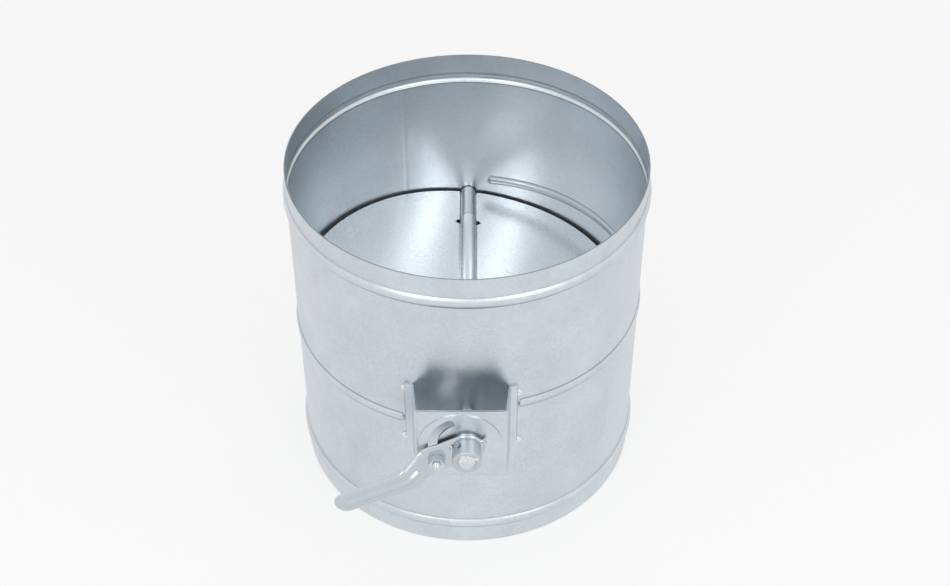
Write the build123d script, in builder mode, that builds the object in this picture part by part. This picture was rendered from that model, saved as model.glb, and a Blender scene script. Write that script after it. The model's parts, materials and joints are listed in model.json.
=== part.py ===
"""Round volume control damper for a 250 mm duct, as separate pieces.

The origin is the centre of the lower rim and +Z runs up the duct. The handle is on the -Y side, and the
blade turns about a shaft that lies along Y. All sizes are in millimetres and angles in degrees.
At rest the blade is almost closed: its +X side hangs a little low.
"""

from math import asin, cos, degrees, radians, sin, sqrt

from build123d import *
import os

os.makedirs("parts", exist_ok=True)

# Casing: a rolled sheet tube with a bead near each end and two half beads round its middle
duct_diameter = 250.0
casing_height = 257.0
casing_sheet = 0.8
end_bead_width = 10.5
end_bead_height = 2.2
end_bead_inset = 18.5
end_bead_blend = 1.5
mid_bead_width = 7.4
mid_bead_height = 1.3
right_bead_rise = 12.0
left_bead_drop = 4.5
rear_bead_gap = 16.0
bead_to_foot = 1.0

# Shaft and its bearings
shaft_diameter = 12.0
axis_height = 128.5
running_clearance = 0.08
bush_diameter = 14.0
bush_flange_diameter = 20.0
bush_flange_thickness = 2.0
bush_inside_reach = 1.5
bush_tail = 1.5
seat_clearance = 0.05
turning_gap = 0.2

# Blade: one disc woven over and under the shaft
blade_edge_gap = 2.2
blade_sheet = 1.2
blade_tilt = 6.6
weave_clearance = 0.05
weave_blend = 1.2
shaft_bare_length = 31.0
slit_width = 1.0
relief_diameter = 5.0
relief_offset = 8.6

# Handle bracket: a hat section whose feet are welded to the casing
bracket_sheet = 1.5
bracket_width = 62.0
bracket_height = 62.8
bracket_offset = -3.9
bracket_rise = -0.4
bracket_standoff = 21.0
bracket_bend = 1.5
foot_spread = 32.2
foot_width = 5.6
foot_taper = 10.0
boss_diameter = 56.0
boss_offset = -4.4
boss_height = 0.8

# Handle and its lock: the bolt rides with the lever along an arc slot
lever_angle = 208.0
blade_travel = 90.0
slot_radius = 23.0
slot_clearance = 0.4
slot_overrun = 4.5
lever_sheet = 2.0
lever_length = 101.5
lever_hub_width = 24.0
lever_lock_width = 23.4
lever_elbow_width = 18.5
grip_width = 17.0
bend_start = 30.0
bend_end = 45.0
grip_offset = 11.5
lever_bend = 5.0
pointer_reach = 2.8
pointer_width = 5.0
rib_width = 4.4
rib_height = 1.0
rib_start = 36.0
rib_end_inset = 8.0
rib_bend = 6.0

# Hub and its spring pin
hub_diameter = 19.6
hub_length = 13.0
hub_chamfer = 0.5
hub_pin_diameter = 4.5
hub_pin_wall = 0.8
hub_pin_slit = 0.8
hub_pin_recess = 0.8
hub_pin_setback = 4.6
hub_pin_turn = -84.0

# Lock bolt and nut, M6 with a 1 mm pitch
thread_diameter = 6.0
nut_flats = 10.0
nut_height = 5.0
nut_clearance = 0.06
bolt_end_length = 3.4
bolt_head_diameter = 12.4
bolt_head_height = 3.2
bolt_head_taper = 25.0
bolt_hole_clearance = 0.3
bolt_chamfer = 0.6
neck_width = 5.8
nut_chamfer = 0.7
nut_bevel = 60.0
nut_turn = -28.0
lock_washer_diameter = 13.0

# Rear end of the shaft
thrust_washer_diameter = 20.0
thrust_washer_thickness = 1.0
clip_thickness = 1.0
clip_diameter = 19.0
clip_groove_depth = 0.8
clip_mouth = 7.5
clip_lobe_width = 3.0
shaft_tail = 2.5
shaft_chamfer = 0.8

# Sizes that follow
duct_radius = duct_diameter / 2
bore_radius = duct_radius - casing_sheet
shaft_radius = shaft_diameter / 2
bearing_radius = shaft_radius + running_clearance
bush_hole_radius = bush_diameter / 2 + seat_clearance
flange_seat = duct_radius + seat_clearance
blade_radius = bore_radius - blade_edge_gap
plate_front = duct_radius + bracket_standoff
boss_front = plate_front + boss_height
boss_back = boss_front - bracket_sheet
lever_back = boss_front + bush_flange_thickness + turning_gap
lever_front = lever_back + lever_sheet
hub_front = lever_front + hub_length
clip_back = flange_seat + bush_flange_thickness + turning_gap + thrust_washer_thickness + seat_clearance
shaft_rear = clip_back + clip_thickness + shaft_tail
slot_width = thread_diameter + slot_clearance
slot_from = lever_angle + blade_tilt - blade_travel - slot_overrun
slot_sweep = blade_travel + 2 * slot_overrun


def front_plane(depth, turn=0.0):
    """Plane that faces -Y at a depth in front of the axis, with X turned about the shaft."""
    return Plane(
        origin=(0, -depth, axis_height),
        x_dir=(cos(radians(turn)), 0, sin(radians(turn))),
        z_dir=(0, -1, 0),
    )


def radial_plane(azimuth, height):
    """Plane through the duct's axis with local X pointing outward at an azimuth and local Y up."""
    outward = (cos(radians(azimuth)), sin(radians(azimuth)), 0)
    return Plane(origin=(0, 0, height), x_dir=outward, z_dir=(outward[1], -outward[0], 0))


def arc_half_chord(width, height, depth):
    """Half the chord that a bead's arc has once it is moved inward by a depth."""
    radius = width**2 / (8 * height) + height / 2
    return sqrt((radius - depth) ** 2 - (radius - height - depth) ** 2 + 1e-9)


def bead_section(width, height, base, lift):
    """Cross-section of a bead: from the radius base out to an arc that rises above the radius lift."""
    chord = arc_half_chord(width, height, duct_radius - lift)
    with BuildSketch() as section:
        with BuildLine():
            ThreePointArc((lift, -chord), (lift + height, 0), (lift, chord))
            Polyline((lift, chord), (base, chord), (base, -chord), (lift, -chord))
        make_face()
    return section.sketch


# Places where each half bead ends, as azimuths about the duct's axis
foot_reach = foot_spread + foot_width
right_foot_azimuth = degrees(asin((bracket_offset + foot_reach) / duct_radius))
left_foot_azimuth = degrees(asin((foot_reach - bracket_offset) / duct_radius))
bead_end_turn = degrees(bead_to_foot / duct_radius)
rear_end_turn = degrees(rear_bead_gap / duct_radius)
mid_beads = [
    (-90 + right_foot_azimuth + bead_end_turn, 90 - rear_end_turn, axis_height + right_bead_rise),
    (90 + rear_end_turn, 270 - left_foot_azimuth - bead_end_turn, axis_height - left_bead_drop),
]

# Casing
with BuildPart() as casing:
    with BuildSketch(Plane.XZ):
        with BuildLine():
            chord = arc_half_chord(end_bead_width, end_bead_height, 0)
            inner_chord = arc_half_chord(end_bead_width, end_bead_height, casing_sheet)
            corner = (duct_radius, 0)
            for bead_height in (end_bead_inset, casing_height - end_bead_inset):
                Line(corner, (duct_radius, bead_height - chord))
                ThreePointArc(
                    (duct_radius, bead_height - chord),
                    (duct_radius + end_bead_height, bead_height),
                    (duct_radius, bead_height + chord),
                )
                corner = (duct_radius, bead_height + chord)
            Polyline(corner, (duct_radius, casing_height), (bore_radius, casing_height))
            corner = (bore_radius, casing_height)
            for bead_height in (casing_height - end_bead_inset, end_bead_inset):
                Line(corner, (bore_radius, bead_height + inner_chord))
                ThreePointArc(
                    (bore_radius, bead_height + inner_chord),
                    (bore_radius + end_bead_height, bead_height),
                    (bore_radius, bead_height - inner_chord),
                )
                corner = (bore_radius, bead_height - inner_chord)
            Polyline(corner, (bore_radius, 0), (duct_radius, 0))
        wall = make_face()
        rims = [v for v in wall.vertices() if 1 < v.Z < casing_height - 1]
        fillet(rims, radius=end_bead_blend)
    revolve(axis=Axis.Z)
    for start, end, height in mid_beads:
        for lift, base, mode in (
            (duct_radius, duct_radius - casing_sheet / 2, Mode.ADD),
            (bore_radius, bore_radius - casing_sheet, Mode.SUBTRACT),
        ):
            section = bead_section(mid_bead_width, mid_bead_height, base, lift)
            with BuildSketch(radial_plane(start, height)):
                add(section)
            revolve(axis=Axis.Z, revolution_arc=end - start, mode=mode)
    with BuildSketch(front_plane(0)):
        Circle(bush_hole_radius)
    extrude(amount=duct_diameter, both=True, mode=Mode.SUBTRACT)
casing.part.label = "casing"
export_step(casing.part, "parts/casing.step")

# Handle bracket
slot_line = Edge.make_circle(slot_radius, start_angle=slot_from, end_angle=slot_from + slot_sweep)
foot_radius = duct_radius + seat_clearance
left_toe_turn = asin((bracket_offset - foot_reach) / foot_radius)
left_heel_turn = asin((bracket_offset - foot_spread) / foot_radius)
right_heel_turn = asin((bracket_offset + foot_spread) / foot_radius)
right_toe_turn = asin((bracket_offset + foot_reach) / foot_radius)
with BuildPart() as handle_bracket:
    with BuildSketch(Plane.XY.offset(axis_height + bracket_rise - bracket_height / 2)):
        with BuildLine():
            FilletPolyline(
                (foot_radius * sin(left_toe_turn), -foot_radius * cos(left_toe_turn)),
                (foot_radius * sin(left_heel_turn), -foot_radius * cos(left_heel_turn)),
                (bracket_offset - bracket_width / 2 + bracket_sheet, bracket_sheet - plate_front),
                (bracket_offset + bracket_width / 2 - bracket_sheet, bracket_sheet - plate_front),
                (foot_radius * sin(right_heel_turn), -foot_radius * cos(right_heel_turn)),
                (foot_radius * sin(right_toe_turn), -foot_radius * cos(right_toe_turn)),
                radius=bracket_bend,
            )
            offset(amount=bracket_sheet, side=Side.RIGHT)
        make_face()
    extrude(amount=bracket_height)
    with BuildSketch(front_plane(plate_front)):
        with Locations((boss_offset, 0)):
            Circle(boss_diameter / 2)
    extrude(amount=boss_height)
    with BuildSketch(front_plane(plate_front - bracket_sheet)):
        with Locations((boss_offset, 0)):
            Circle(boss_diameter / 2 - boss_height)
    extrude(amount=boss_height, mode=Mode.SUBTRACT)
    with BuildSketch(front_plane(boss_back)):
        Circle(bush_hole_radius)
        SlotArc(slot_line, slot_width)
    extrude(amount=bracket_sheet, both=True, mode=Mode.SUBTRACT)
    foot_low = bracket_rise - bracket_height / 2
    with BuildSketch(front_plane(0)):
        for side in (-1, 1):
            heel = bracket_offset + side * (foot_spread + bracket_sheet)
            toe = bracket_offset + side * (foot_reach + bracket_sheet)
            with BuildLine():
                Polyline((heel, foot_low), (toe, foot_low), (toe, foot_low + foot_taper), close=True)
            make_face()
    extrude(amount=duct_radius + 2 * bracket_sheet, mode=Mode.SUBTRACT)
handle_bracket.part.label = "handle_bracket"
export_step(handle_bracket.part, "parts/handle_bracket.step")

# Bushes in the front wall, the rear wall and the bracket
with BuildPart() as front_bush:
    with BuildSketch(front_plane(flange_seat)):
        Circle(bush_flange_diameter / 2)
    extrude(amount=bush_flange_thickness)
    with BuildSketch(front_plane(bore_radius - bush_inside_reach)):
        Circle(bush_diameter / 2)
    extrude(until=Until.NEXT)
    with BuildSketch(front_plane(0)):
        Circle(bearing_radius)
    extrude(amount=duct_diameter, mode=Mode.SUBTRACT)
front_bush.part.label = "front_bush"
export_step(front_bush.part, "parts/front_bush.step")

with BuildPart() as rear_bush:
    mirror(front_bush.part, about=Plane.XZ)
rear_bush.part.label = "rear_bush"
export_step(rear_bush.part, "parts/rear_bush.step")

with BuildPart() as bracket_bush:
    with BuildSketch(front_plane(boss_front)):
        Circle(bush_flange_diameter / 2)
    extrude(amount=bush_flange_thickness)
    with BuildSketch(front_plane(boss_back - bush_tail)):
        Circle(bush_diameter / 2)
    extrude(until=Until.NEXT)
    with BuildSketch(front_plane(0)):
        Circle(bearing_radius)
    extrude(amount=duct_diameter, mode=Mode.SUBTRACT)
bracket_bush.part.label = "bracket_bush"
export_step(bracket_bush.part, "parts/bracket_bush.step")

# Shaft
hub_pin_depth = lever_front + hub_pin_setback
pin_angle = lever_angle + hub_pin_turn
pin_plane = Plane(
    origin=(0, -hub_pin_depth, axis_height),
    x_dir=(0, 1, 0),
    z_dir=(cos(radians(pin_angle)), 0, sin(radians(pin_angle))),
)
with BuildPart() as shaft:
    with BuildSketch(front_plane(-shaft_rear)):
        Circle(shaft_radius)
    extrude(amount=shaft_rear + hub_front)
    chamfer(shaft.edges().group_by(Axis.Y)[-1], length=shaft_chamfer)
    with BuildSketch(front_plane(-clip_back - clip_thickness - seat_clearance)):
        Circle(shaft_radius)
        Circle(shaft_radius - clip_groove_depth, mode=Mode.SUBTRACT)
    extrude(amount=clip_thickness + 2 * seat_clearance, mode=Mode.SUBTRACT)
    with BuildSketch(pin_plane):
        Circle(hub_pin_diameter / 2)
    extrude(amount=hub_diameter, both=True, mode=Mode.SUBTRACT)
shaft.part.label = "shaft"
export_step(shaft.part, "parts/shaft.step")


# Blade
def weave_plane(depth, turn):
    """Plane across the shaft in the blade's own tilt, turned over where the sheet passes below."""
    return front_plane(depth, turn - blade_tilt)


weave_bore = shaft_radius + weave_clearance
weave_crest = weave_bore + blade_sheet
slit_reach = bore_radius - shaft_bare_length
blade_plane = Plane(
    origin=(0, 0, axis_height),
    x_dir=(cos(radians(blade_tilt)), 0, -sin(radians(blade_tilt))),
    z_dir=(sin(radians(blade_tilt)), 0, cos(radians(blade_tilt))),
)
with BuildPart() as blade:
    with BuildSketch(blade_plane):
        Circle(blade_radius)
    extrude(amount=blade_sheet / 2, both=True)
    for depth, turn, length in (
        (-slit_reach, 0, 2 * slit_reach),
        (slit_reach, 180, blade_radius - slit_reach),
        (-blade_radius, 180, blade_radius - slit_reach),
    ):
        with BuildSketch(weave_plane(depth, turn)) as weave:
            Rectangle(4 * weave_crest, blade_sheet)
            Circle(weave_crest)
            with Locations((0, -blade_sheet / 2)):
                Rectangle(4 * weave_crest, 2 * weave_crest, align=(Align.CENTER, Align.MAX), mode=Mode.SUBTRACT)
            roots = []
            for corner in weave.vertices():
                place = weave_plane(0, turn).to_local_coords(corner)
                if weave_bore < abs(place.X) < weave_crest + blade_sheet and place.Y > 0:
                    roots.append(corner)
            fillet(roots, radius=weave_blend)
        extrude(amount=length)
    with BuildSketch(front_plane(0)):
        Circle(weave_bore)
    extrude(amount=duct_diameter, both=True, mode=Mode.SUBTRACT)
    with BuildSketch(blade_plane):
        for side in (-1, 1):
            with Locations((0, side * slit_reach)):
                Rectangle(2 * relief_offset, slit_width)
            with Locations((-relief_offset, side * slit_reach), (relief_offset, side * slit_reach)):
                Circle(relief_diameter / 2)
    extrude(amount=2 * weave_crest, both=True, mode=Mode.SUBTRACT)
    with BuildSketch(blade_plane):
        Circle(blade_radius)
    extrude(amount=2 * weave_crest, both=True, mode=Mode.INTERSECT)
blade.part.label = "blade"
export_step(blade.part, "parts/blade.step")

# Thrust washer and clip that hold the shaft at the rear
with BuildPart() as rear_thrust_washer:
    with BuildSketch(front_plane(seat_clearance - clip_back)):
        Circle(thrust_washer_diameter / 2)
        Circle(bearing_radius, mode=Mode.SUBTRACT)
    extrude(amount=thrust_washer_thickness)
rear_thrust_washer.part.label = "rear_thrust_washer"
export_step(rear_thrust_washer.part, "parts/rear_thrust_washer.step")

clip_inner = shaft_radius - clip_groove_depth + seat_clearance
with BuildPart() as rear_retaining_clip:
    with BuildSketch(front_plane(-clip_back - clip_thickness)):
        Circle(clip_diameter / 2)
        Circle(shaft_radius + clip_groove_depth, mode=Mode.SUBTRACT)
        with PolarLocations(0, 3, start_angle=90, angular_range=360):
            Rectangle(clip_diameter / 2 - clip_groove_depth, clip_lobe_width, align=(Align.MIN, Align.CENTER))
        Circle(clip_inner, mode=Mode.SUBTRACT)
        with Locations((0, -clip_diameter / 2)):
            Rectangle(clip_mouth, clip_diameter / 2, mode=Mode.SUBTRACT)
    extrude(amount=clip_thickness)
rear_retaining_clip.part.label = "rear_retaining_clip"
export_step(rear_retaining_clip.part, "parts/rear_retaining_clip.step")

# Lever
lever_plane = front_plane(0, lever_angle)
lever_side = Plane(
    origin=(0, 0, axis_height),
    x_dir=lever_plane.x_dir,
    z_dir=(sin(radians(lever_angle)), 0, -cos(radians(lever_angle))),
)
lever_tip_centre = lever_length - grip_width / 2
grip_front = lever_front + grip_offset
rib_start_front = lever_front + grip_offset * (rib_start - bend_start) / (bend_end - bend_start)
lever_across = (-sin(radians(lever_angle)), 0, cos(radians(lever_angle)))
with BuildPart() as lever:
    with BuildSketch(lever_side):
        with BuildLine():
            FilletPolyline(
                (-lever_hub_width, lever_back),
                (bend_start, lever_back),
                (bend_end, lever_back + grip_offset),
                (lever_length + grip_width, lever_back + grip_offset),
                radius=lever_bend,
            )
            offset(amount=lever_sheet, side=Side.LEFT)
        make_face()
    extrude(amount=lever_hub_width, both=True)
    with BuildSketch(lever_plane) as outline:
        with BuildSketch() as hub_end:
            Circle(lever_hub_width / 2)
            with Locations((slot_radius, 0)):
                Circle(lever_lock_width / 2)
            make_hull()
        with BuildSketch() as neck:
            with Locations((slot_radius, 0)):
                Circle(lever_lock_width / 2)
            with Locations((bend_end, 0)):
                Circle(lever_elbow_width / 2)
            make_hull()
        with BuildSketch() as grip:
            with Locations((bend_end, 0)):
                Circle(lever_elbow_width / 2)
            with Locations((lever_tip_centre, 0)):
                Circle(grip_width / 2)
            make_hull()
        with BuildLine():
            pointer_root = -lever_hub_width / 2 + pointer_reach
            pointer_tip = -lever_hub_width / 2 - pointer_reach
            Polyline(
                (pointer_root, -pointer_width / 2),
                (pointer_tip, -pointer_width / 4),
                (pointer_tip, pointer_width / 4),
                (pointer_root, pointer_width / 2),
                close=True,
            )
        make_face()
    extrude(amount=duct_diameter, mode=Mode.INTERSECT)
    with BuildSketch(lever_plane):
        Circle(shaft_radius + seat_clearance)
        with Locations((slot_radius, 0)):
            Circle(thread_diameter / 2 + bolt_hole_clearance)
    extrude(amount=lever_front + lever_sheet, mode=Mode.SUBTRACT)
    for lift, base, mode in ((0, -lever_sheet / 2, Mode.ADD), (-lever_sheet, -1.5 * lever_sheet, Mode.SUBTRACT)):
        with BuildLine(lever_side) as rib_line:
            FilletPolyline(
                (rib_start, rib_start_front),
                (bend_end, grip_front),
                (lever_length - rib_end_inset, grip_front),
                radius=rib_bend,
            )
        with BuildSketch(Plane(origin=rib_line.line @ 0, x_dir=lever_across, z_dir=rib_line.line % 0)) as rib:
            with BuildLine():
                ThreePointArc((-rib_width / 2, lift), (0, lift + rib_height), (rib_width / 2, lift))
                Polyline((rib_width / 2, lift), (rib_width / 2, base), (-rib_width / 2, base), (-rib_width / 2, lift))
            make_face()
        sweep(sections=rib.sketch, path=rib_line.line, mode=mode)
lever.part.label = "lever"
export_step(lever.part, "parts/lever.step")

# Hub, welded to the lever and pinned to the shaft
with BuildPart() as hub:
    with BuildSketch(front_plane(lever_front)):
        Circle(hub_diameter / 2)
        Circle(shaft_radius + seat_clearance, mode=Mode.SUBTRACT)
    extrude(amount=hub_length)
    front_rim = hub.edges().filter_by(GeomType.CIRCLE).group_by(Axis.Y)[0].sort_by(SortBy.LENGTH)[-1]
    chamfer(front_rim, length=hub_chamfer)
    with BuildSketch(pin_plane):
        Circle(hub_pin_diameter / 2)
    extrude(amount=hub_diameter, both=True, mode=Mode.SUBTRACT)
hub.part.label = "hub"
export_step(hub.part, "parts/hub.step")

pin_radius = hub_pin_diameter / 2 - seat_clearance
with BuildPart() as hub_pin:
    with BuildSketch(pin_plane):
        Circle(pin_radius)
        Circle(pin_radius - hub_pin_wall, mode=Mode.SUBTRACT)
        with Locations((pin_radius, 0)):
            Rectangle(4 * hub_pin_wall, hub_pin_slit, mode=Mode.SUBTRACT)
    extrude(amount=hub_diameter / 2 - hub_pin_recess, both=True)
hub_pin.part.label = "hub_pin"
export_step(hub_pin.part, "parts/hub_pin.step")

# Lock bolt, washer and nut
with BuildPart() as lock_bolt:
    with BuildSketch(front_plane(boss_back - seat_clearance, lever_angle)):
        with Locations((slot_radius, 0)):
            Circle(bolt_head_diameter / 2)
    extrude(amount=-bolt_head_height, taper=bolt_head_taper)
    with BuildSketch(front_plane(boss_back - seat_clearance, lever_angle)):
        with Locations((slot_radius, 0)):
            Rectangle(neck_width, neck_width)
    extrude(amount=bracket_sheet)
    with BuildSketch(front_plane(boss_back - seat_clearance, lever_angle)):
        with Locations((slot_radius, 0)):
            Circle(thread_diameter / 2)
    extrude(amount=lever_front + nut_height + bolt_end_length - boss_back + seat_clearance)
    chamfer(lock_bolt.edges().group_by(Axis.Y)[0], length=bolt_chamfer)
lock_bolt.part.label = "lock_bolt"
export_step(lock_bolt.part, "parts/lock_bolt.step")

with BuildPart() as lock_washer:
    with BuildSketch(front_plane(boss_front + turning_gap, lever_angle)):
        with Locations((slot_radius, 0)):
            Circle(lock_washer_diameter / 2)
            Circle(thread_diameter / 2 + bolt_hole_clearance, mode=Mode.SUBTRACT)
    extrude(amount=bush_flange_thickness)
lock_washer.part.label = "lock_washer"
export_step(lock_washer.part, "parts/lock_washer.step")

with BuildPart() as lock_nut:
    with BuildSketch(front_plane(lever_front + seat_clearance, lever_angle)):
        with Locations((slot_radius, 0)):
            RegularPolygon(nut_flats / 2, 6, major_radius=False, rotation=nut_turn)
    extrude(amount=nut_height)
    nut_corner = nut_flats / sqrt(3)
    for depth, turn in ((lever_front + seat_clearance, 1), (lever_front + seat_clearance + nut_height, -1)):
        with BuildSketch(front_plane(depth, lever_angle)):
            with Locations((slot_radius, 0)):
                Circle(nut_corner - nut_chamfer)
        extrude(amount=turn * nut_height, taper=-nut_bevel, mode=Mode.INTERSECT)
    with BuildSketch(front_plane(lever_front, lever_angle)):
        with Locations((slot_radius, 0)):
            Circle(thread_diameter / 2 + nut_clearance)
    extrude(amount=2 * nut_height, mode=Mode.SUBTRACT)
lock_nut.part.label = "lock_nut"
export_step(lock_nut.part, "parts/lock_nut.step")
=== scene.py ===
"""Studio scene of a round volume control damper: a galvanised tube, a woven disc blade and a lockable hand lever."""

import json
import logging
from dataclasses import dataclass, field
from enum import Enum
from math import atan, cos, hypot, inf, pi, radians, sin, sqrt, tau

import bmesh
import bpy
from mathutils import Matrix, Vector

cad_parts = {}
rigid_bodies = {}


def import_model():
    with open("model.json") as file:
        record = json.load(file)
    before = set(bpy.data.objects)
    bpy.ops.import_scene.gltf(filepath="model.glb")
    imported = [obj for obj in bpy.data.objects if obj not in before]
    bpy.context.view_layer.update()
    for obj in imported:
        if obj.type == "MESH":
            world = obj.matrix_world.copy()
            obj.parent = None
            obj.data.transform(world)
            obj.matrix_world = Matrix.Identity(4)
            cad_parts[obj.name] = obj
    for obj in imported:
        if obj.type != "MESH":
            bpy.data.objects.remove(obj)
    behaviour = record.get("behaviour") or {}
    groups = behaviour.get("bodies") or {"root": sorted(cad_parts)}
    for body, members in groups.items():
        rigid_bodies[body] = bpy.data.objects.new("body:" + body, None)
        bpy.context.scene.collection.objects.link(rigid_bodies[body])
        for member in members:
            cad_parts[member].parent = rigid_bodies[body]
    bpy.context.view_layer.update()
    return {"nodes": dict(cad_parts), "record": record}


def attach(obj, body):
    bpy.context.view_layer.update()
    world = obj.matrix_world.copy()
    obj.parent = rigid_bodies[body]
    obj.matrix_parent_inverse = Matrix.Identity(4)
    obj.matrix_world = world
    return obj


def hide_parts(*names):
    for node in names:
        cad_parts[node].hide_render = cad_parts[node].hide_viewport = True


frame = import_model()
log = logging.getLogger("damper")

Triple = tuple[float, float, float]
SHAFT_HEIGHT = 0.1285


class Body(Enum):
    """Rigid bodies of the damper."""

    CASING = "casing_set"
    BLADE = "blade_and_handle"
    BOLT = "bolt"
    NUT = "nut"


class Slot(Enum):
    """Finish slots of the damper's record."""

    SHEET = "galvanised_sheet"
    BLADE = "blade_sheet"
    BRACKET = "bracket_sheet"
    SHAFT = "shaft_steel"
    LEVER = "zinc_plated"
    BUSH = "bush_metal"
    FASTENER = "fastener_zinc"


class Graph:
    """Adds nodes to a node tree and wires them by socket name."""

    def __init__(self, tree: bpy.types.NodeTree) -> None:
        """Keep the tree that the nodes go into.

        Args:
            tree: Shader or geometry node tree.
        """
        self.tree = tree

    def wire(self, socket: bpy.types.NodeSocket, value: object) -> None:
        """Link a socket to an output, or set its value.

        Args:
            socket: Input to feed.
            value: Output socket or plain value.
        """
        if isinstance(value, bpy.types.NodeSocket):
            self.tree.links.new(value, socket)
        else:
            socket.default_value = value

    def node(self, kind: str, inputs: dict | None = None, **settings: object) -> bpy.types.Node:
        """Add one node.

        Args:
            kind: Node type name.
            inputs: Input name or index to a value or an output socket.
            settings: Node properties.

        Returns:
            The new node.
        """
        made = self.tree.nodes.new(kind)
        for name, value in settings.items():
            setattr(made, name, value)
        for name, value in (inputs or {}).items():
            self.wire(made.inputs[name], value)
        return made

    def math(self, operation: str, a: object, b: object = 0.0, c: object = 0.0) -> bpy.types.NodeSocket:
        """Add one Math node.

        Args:
            operation: Name of the operation.
            a: First value.
            b: Second value.
            c: Third value.

        Returns:
            The node's output.
        """
        return self.node("ShaderNodeMath", {0: a, 1: b, 2: c}, operation=operation).outputs[0]

    def total(self, *terms: object) -> bpy.types.NodeSocket:
        """Add terms up.

        Args:
            terms: Two or more values or sockets.

        Returns:
            The sum.
        """
        result = terms[0]
        for term in terms[1:]:
            result = self.math("ADD", result, term)
        return result

    def noise(
        self, place: object, scale: object, detail: dict[str, float], seed: object = None
    ) -> bpy.types.NodeSocket:
        """Add one noise texture.

        Args:
            place: Where to read it.
            scale: Scale of the noise.
            detail: Further inputs by name.
            seed: Fourth coordinate, for a seeded noise.

        Returns:
            The node's Fac output.
        """
        wanted = {"Vector": place, "Scale": scale, **detail}
        if seed is None:
            return self.node("ShaderNodeTexNoise", wanted).outputs["Fac"]
        return self.node("ShaderNodeTexNoise", {**wanted, "W": seed}, noise_dimensions="4D").outputs["Fac"]

    def seen(self) -> bpy.types.NodeSocket:
        """Tell the rays that show a surface from those that light others.

        Returns:
            1 on camera, glossy and transmission rays, otherwise 0.
        """
        path = self.node("ShaderNodeLightPath").outputs
        shown = self.math("MAXIMUM", path["Is Camera Ray"], path["Is Glossy Ray"])
        return self.math("MAXIMUM", shown, path["Is Transmission Ray"])

    def ramp(
        self, value: object, low: object, high: object, to_low: object = 0.0, to_high: object = 1.0
    ) -> bpy.types.NodeSocket:
        """Map a value smoothly from one range to another.

        Args:
            value: Value to map.
            low: Start of the range.
            high: End of the range.
            to_low: Result at the start.
            to_high: Result at the end.

        Returns:
            The mapped value.
        """
        wanted = {"Value": value, "From Min": low, "From Max": high, "To Min": to_low, "To Max": to_high}
        return self.node("ShaderNodeMapRange", wanted, interpolation_type="SMOOTHSTEP").outputs[0]


def effect_group(
    name: str, inputs: dict[str, float], outputs: list[str]
) -> tuple[bpy.types.NodeTree, Graph, bpy.types.Node, bpy.types.Node]:
    """Start a shader node group with a Vector input and plain value sockets.

    Args:
        name: Group name.
        inputs: Input names and their starting values.
        outputs: Output names.

    Returns:
        The group, a graph on it, and its input and output nodes.
    """
    tree = bpy.data.node_groups.new(name, "ShaderNodeTree")
    tree.interface.new_socket("Vector", in_out="INPUT", socket_type="NodeSocketVector")
    for label, value in inputs.items():
        tree.interface.new_socket(label, in_out="INPUT", socket_type="NodeSocketFloat").default_value = value
    for label in outputs:
        tree.interface.new_socket(label, in_out="OUTPUT", socket_type="NodeSocketFloat")
    graph = Graph(tree)
    return tree, graph, graph.node("NodeGroupInput"), graph.node("NodeGroupOutput")


def spangle_group() -> bpy.types.NodeTree:
    """Zinc crystals, soft blotches and fine dark specks.

    Returns:
        Group with Shade, Gloss and Height outputs.
    """
    inputs = {
        "Crystal": 400.0,
        "Crystal Contrast": 0.05,
        "Blotch": 30.0,
        "Blotch Contrast": 0.1,
        "Speck": 900.0,
        "Speck Depth": 0.2,
    }
    tree, graph, given, out = effect_group("Zinc spangle", inputs, ["Shade", "Gloss", "Height"])
    take = given.outputs
    cell = graph.node("ShaderNodeTexVoronoi", {"Vector": take["Vector"], "Scale": take["Crystal"], "Randomness": 1.0})
    facet = graph.node("ShaderNodeSeparateColor", {"Color": cell.outputs["Color"]}).outputs[0]
    soft = graph.noise(take["Vector"], take["Blotch"], {"Detail": 4.0, "Roughness": 0.6})
    fine = graph.noise(take["Vector"], take["Speck"], {"Detail": 2.0, "Roughness": 0.7})
    patch = graph.noise(take["Vector"], 22.0, {"Detail": 1.0})
    speck = graph.math("MULTIPLY", graph.ramp(fine, 0.56, 0.72), graph.ramp(patch, 0.35, 0.65, 0.35, 1.0))
    cells = graph.math("MULTIPLY", graph.math("SUBTRACT", facet, 0.5), take["Crystal Contrast"])
    cloud = graph.math("MULTIPLY", graph.math("SUBTRACT", soft, 0.5), take["Blotch Contrast"])
    dark = graph.math("MULTIPLY", speck, graph.math("MULTIPLY", take["Speck Depth"], -1.0))
    graph.wire(out.inputs["Shade"], graph.total(1.0, cells, cloud, dark))
    gloss = ((cells, 0.8), (cloud, 0.7), (speck, 0.12))
    graph.wire(out.inputs["Gloss"], graph.total(*(graph.math("MULTIPLY", value, share) for value, share in gloss)))
    height = ((facet, 0.35), (fine, 0.25), (soft, 0.6))
    graph.wire(out.inputs["Height"], graph.total(*(graph.math("MULTIPLY", value, share) for value, share in height)))
    return tree


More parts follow.
